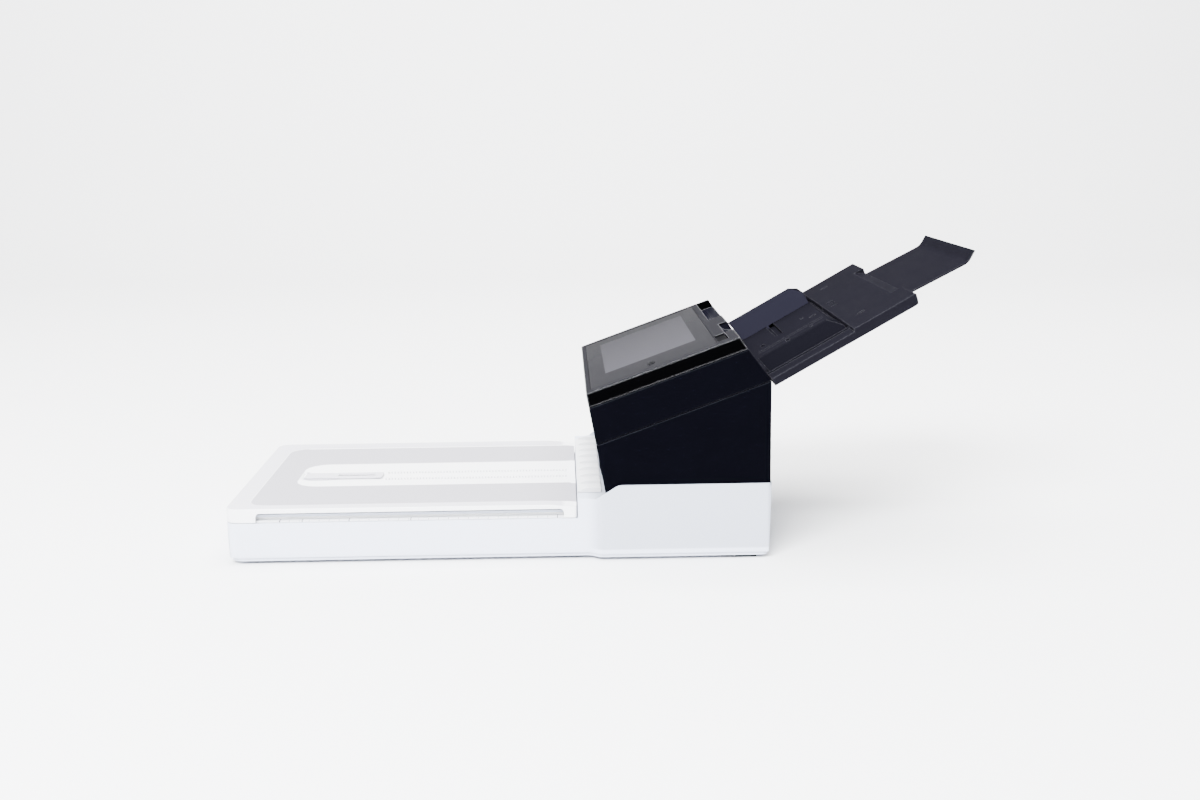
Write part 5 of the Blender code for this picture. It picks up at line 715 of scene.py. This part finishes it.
def pointCloud(spots):
    mesh = bpy.data.meshes.new("spots")
    mesh.from_pydata([Vector(spot) for spot in spots], [], [])
    return mesh


# The nine fins before the paper exit, with the strip that carries them
finRow = {"count": 9, "pitch": 0.031, "thickness": 0.0024, "length": 0.024, "frontRise": 0.0016, "rearRise": 0.0046,
          "knee": 0.55, "shoulder": 0.0035, "nose": 0.0009, "chamfer": 0.0003, "drop": 0.0005, "steps": 8,
          "strip": 0.0014, "start": 0.0008, "deck": 0.0628}


def growFins(look):
    sizes = {key: look[key] for key in ("count", "pitch", "thickness", "length", "strip")}
    tree = Grower("finTree", sizes)
    # the side profile comes in as a flat face and gets its thickness here
    fin = tree.node("GeometryNodeExtrudeMesh", {"mode": "FACES"},
                    {"Mesh": tree.start.outputs[0], "Offset Scale": tree.given("thickness"), "Individual": False})
    back = tree.node("GeometryNodeFlipFaces", {}, {"Mesh": tree.start.outputs[0]})
    whole = tree.node("GeometryNodeMergeByDistance", {}, {"Geometry": tree.joined(fin, back), "Distance": 0.000001})
    pitches = tree.math("SUBTRACT", tree.given("count"), 1.0)
    half = tree.math("MULTIPLY", tree.given("pitch"), tree.math("MULTIPLY", pitches, -0.5))
    first = tree.vector(tree.math("ADD", half, tree.math("MULTIPLY", tree.given("thickness"), 0.5)))
    row = tree.node("GeometryNodeMeshLine", {"mode": "OFFSET"},
                    {"Count": tree.given("count"), "Start Location": first, "Offset": tree.vector(tree.given("pitch"))})
    wide = tree.math("ADD", tree.math("MULTIPLY", half, -2.0), tree.math("MULTIPLY", tree.given("thickness"), 2.0))
    strip = tree.block(tree.vector(wide, tree.given("length"), tree.given("strip")))
    strip = tree.moved(strip, tree.vector(0.0, tree.math("MULTIPLY", tree.given("length"), 0.5),
                                          tree.math("MULTIPLY", tree.given("strip"), 0.5)))
    tree.finish(tree.joined(tree.onPoints(row, whole), strip), "finWhite")
    return tree


def finProfile(look):
    # corner points rounded by arcs, in the plane X = 0, facing -X
    long, low, high, knee = look["length"], look["frontRise"], look["rearRise"], look["length"] * look["knee"]
    line = [(0, 0), (long, 0), (long, high)]
    for step in range(look["steps"] + 1):
        turn = math.pi / 2 * step / look["steps"]
        line.append((knee - (knee - look["shoulder"]) * math.sin(turn), low + (high - low) * math.cos(turn)))
    line += [(look["nose"], low), (look["chamfer"], low - look["drop"])]
    mesh = bpy.data.meshes.new("finProfile")
    mesh.from_pydata([(0, y, z) for y, z in line], [], [list(range(len(line)))[::-1]])
    return mesh


finSpot = bedFrame @ Matrix.Translation((0, finRow["start"], finRow["deck"]))
fins = grown("fins", growFins(finRow), "scanner", finProfile(finRow), finSpot, 30)
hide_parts("exit_ribs")
print("fins grown:", len(fins.data.polygons), "faces")


# Teeth along both walls of the lid's channel, where the paper stopper clicks along
rackLook = {"count": 59, "pitch": 0.0034, "tooth": (0.0013, 0.0014, 0.0021), "start": -0.208, "wall": 0.01498,
            "floor": 0.0522, "lift": 0.00002}


def growRow(name, finish, sizes):
    # a straight row of blocks, one after the other
    tree = Grower(name, sizes)
    line = tree.node("GeometryNodeMeshLine", {"mode": "OFFSET"},
                     {"Count": tree.given("count"), "Offset": tree.given("step")})
    tree.finish(tree.onPoints(line, tree.block(tree.given("tooth"))), finish)
    return tree


rackTree = growRow("rackTree", "finWhite", {"count": rackLook["count"], "step": (0.0, rackLook["pitch"], 0.0),
                                           "tooth": rackLook["tooth"]})
for side, name in ((-1, "rack_far"), (1, "rack_near")):
    wide, _, tall = rackLook["tooth"]
    spot = Vector((side * (rackLook["wall"] - wide / 2), rackLook["start"],
                   rackLook["floor"] + tall / 2 + rackLook["lift"]))
    grown(name, rackTree, "lid", None, bedFrame @ Matrix.Translation(spot))


# A plain scale along the flatbed's near edge: fine ticks, and long ones at the paper lengths
scaleLook = {"zero": -0.02007, "fine": 0.010, "count": 29, "fineTick": (0.0030, 0.0003, 0.0012),
             "longTick": (0.0062, 0.0009, 0.0022), "lengths": (0.0, 0.148, 0.210, 0.257, 0.2794),
             "outer": 0.14735, "top": 0.04385}


def growOnSpots(name, finish, sizes):
    # the same block on each point of the base mesh
    tree = Grower(name, sizes)
    tree.finish(tree.onPoints(tree.start.outputs[0], tree.block(tree.given("size"))), finish)
    return tree


def tickSpot(look, size, back):
    # the middle of a tick whose outer end and top lie flush with the scale's
    return look["outer"] - size[0] / 2, look["zero"] - back, look["top"] - size[2] / 2


def drawScale(look):
    fine = growRow("fineScale", "inkGrey", {"count": look["count"], "step": (0.0, -look["fine"], 0.0),
                                            "tooth": look["fineTick"]})
    grown("scale_fine", fine, "scanner", None,
          bedFrame @ Matrix.Translation(tickSpot(look, look["fineTick"], 0.0)))
    spots = pointCloud([tickSpot(look, look["longTick"], back) for back in look["lengths"]])
    long = growOnSpots("longScale", "inkGrey", {"size": look["longTick"]})
    grown("scale_long", long, "scanner", spots, bedFrame)


drawScale(scaleLook)


# Cross-recess screws: one head is cut once and set on every point of a face
screwLook = {"radius": 0.0030, "tall": 0.0013, "slot": 0.0008, "reach": 0.0034, "deep": 0.0009}


def growScrews(look):
    tree = Grower("screwTree", dict(look))
    head = tree.node("GeometryNodeMeshCylinder", {"fill_type": "NGON"},
                     {"Vertices": 20, "Radius": tree.given("radius"), "Depth": tree.given("tall")}, "Mesh")
    head = tree.moved(head, tree.vector(0.0, 0.0, tree.math("MULTIPLY", tree.given("tall"), 0.5)))
    lift = tree.vector(0.0, 0.0, tree.given("tall"))
    high = tree.math("MULTIPLY", tree.given("deep"), 2.0)
    cross = [tree.moved(tree.block(tree.vector(tree.given(a), tree.given(b), high)), lift)
             for a, b in (("reach", "slot"), ("slot", "reach"))]
    cut = tree.node("GeometryNodeMeshBoolean", {"operation": "DIFFERENCE", "solver": "EXACT"},
                    {"Mesh 1": head, "Mesh 2": cross}, "Mesh")
    tree.finish(tree.onPoints(tree.start.outputs[0], cut), "zincSteel")
    return tree


screwTree = growScrews(screwLook)
downwards = Matrix.Rotation(math.pi, 4, "X")
# body, slot, frame, how deep the heads are sunk, and their spots on that frame's floor
screwRows = {
    "screws_bottom": ("scanner", "steel", bedFrame @ Matrix.Translation((0, 0, 0.0030)) @ downwards,
                      screwLook["tall"] * 0.35,
                      [(x, -y) for x in (-0.140, 0.140) for y in (-0.330, -0.190, -0.010, 0.170)]),
    "screws_board": ("scanner", "steel", Matrix.Translation((0, 0, 0.0136)), 0,
                     [(x, y) for x in (-0.034, 0.114) for y in (0.039, 0.120)]),
}


def setScrews(rows):
    for name, (body, slot, frameOf, sink, spots) in rows.items():
        points = pointCloud([(x, y, -sink) for x, y in spots])
        grown(name, screwTree, body, points, frameOf, 30)


setScrews(screwRows)
print("scale and screws set")


# Camera at the photograph's angle, metres and radians
shot = {"spot": (1.5706, -0.03947, 0.4321), "turn": 0.0255, "dip": 0.187, "roll": -0.0104, "lens": 43.636,
        "sensor": 36, "clip": 50}


def setCamera(look):
    level = math.cos(look["dip"])
    ahead = Vector((-math.cos(look["turn"]) * level, math.sin(look["turn"]) * level, -math.sin(look["dip"])))
    right = Vector((math.sin(look["turn"]), math.cos(look["turn"]), 0))
    up = right.cross(ahead)
    rightRolled = right * math.cos(look["roll"]) + up * math.sin(look["roll"])
    upRolled = up * math.cos(look["roll"]) - right * math.sin(look["roll"])
    camera = linked("camera", bpy.data.cameras.new("camera"))
    camera.data.lens = look["lens"]
    camera.data.sensor_width = look["sensor"]
    camera.data.clip_end = look["clip"]
    turned = Matrix((rightRolled, upRolled, -ahead)).transposed().to_4x4()
    camera.matrix_world = Matrix.Translation(look["spot"]) @ turned
    bpy.context.scene.camera = camera


setCamera(shot)


# Floor and backdrop in one swept sheet, and soft boxes above and around
studio = {"floor": (0.86, 0.86, 0.865), "glow": (0.72, 0.72, 0.73), "world": (0.21, 0.213, 0.222), "lit": 2.2,
          "unlit": 2.2 * 2.4, "near": 60.0, "far": -2.6, "half": 60.0, "bend": 1.6, "height": 5.0, "steps": 16,
          "drop": 0.0004}


def buildFloor(look):
    line = [(look["near"], 0.0)]
    for step in range(look["steps"] + 1):
        turn = math.pi / 2 * step / look["steps"]
        line.append((look["far"] - look["bend"] * math.sin(turn), look["bend"] * (1 - math.cos(turn))))
    line.append((look["far"] - look["bend"], look["height"]))
    builder = bmesh.new()
    rows = [[builder.verts.new((x, y, z)) for y in (-look["half"], look["half"])] for x, z in line]
    for low, high in zip(rows, rows[1:]):
        builder.faces.new((low[0], low[1], high[1], high[0]))
    bmesh.ops.recalc_face_normals(builder, faces=builder.faces)
    mesh = bpy.data.meshes.new("floor")
    builder.to_mesh(mesh)
    builder.free()
    mesh.polygons.foreach_set("use_smooth", [True] * len(mesh.polygons))
    floor = linked("floor", mesh)
    floor.location.z = -look["drop"]
    paint = Paint("paperFloor")
    cloud = paint.noise(0.9, 2)
    # the paper glows a little where the lamps no longer reach, so every side ends in a pale ground
    across, along = paint.along((1, 0, 0)), paint.along((0, 1, 0))
    away = paint.node("ShaderNodeMapRange", {"interpolation_type": "SMOOTHSTEP"},
                      {0: (across * across + along * along).math("SQRT"), 1: look["lit"], 2: look["unlit"]})
    paint.set(Base_Color=paint.blend(cloud, tint(look["floor"], 0.99), tint(look["floor"], 1.01)),
              Roughness=0.86 + paint.noise(0.004, 2) * 0.08, Emission_Strength=1.0,
              Emission_Color=paint.blend(away, (0, 0, 0, 1), tint(look["glow"], 1)))
    mesh.materials.append(paint.material)


# spot, aim, size in metres, power in watts, colour
softBoxes = {
    "topBox": ((0.1, 0.1, 2.4), (0, 0, 0), (2.0, 2.4), 190, (1, 1, 1)),
    "frontBox": ((2.2, -0.9, 2.1), (0, 0, 0.1), (1.6, 1.2), 560, (0.96, 0.98, 1.0)),
    "leftBox": ((0.3, -2.6, 1.3), (0, 0, 0.1), (1.4, 1.0), 40, (1, 1, 1)),
    "rightBox": ((-0.6, 2.7, 1.7), (0, 0, 0.1), (1.4, 1.2), 50, (1, 1, 1)),
    "backBox": ((-1.4, 0.0, 3.2), (-4.2, 0, 0.9), (5.0, 1.6), 480, (1, 1, 1)),
}


def hangBox(name, spot, aim, size, power, colour):
    lamp = bpy.data.lights.new(name, "AREA")
    lamp.shape = "RECTANGLE"
    lamp.size, lamp.size_y = size
    lamp.energy = power
    lamp.color = colour
    holder = linked(name, lamp)
    holder.location = spot
    holder.rotation_euler = (Vector(aim) - Vector(spot)).to_track_quat("-Z", "Y").to_euler()


buildFloor(studio)
for name, look in softBoxes.items():
    hangBox(name, *look)

world = bpy.data.worlds.new("studioAir")
world.use_nodes = True
world.node_tree.nodes["Background"].inputs["Color"].default_value = (*studio["world"], 1)
world.node_tree.nodes["Background"].inputs["Strength"].default_value = 1.0
bpy.context.scene.world = world
print("studio and camera set")
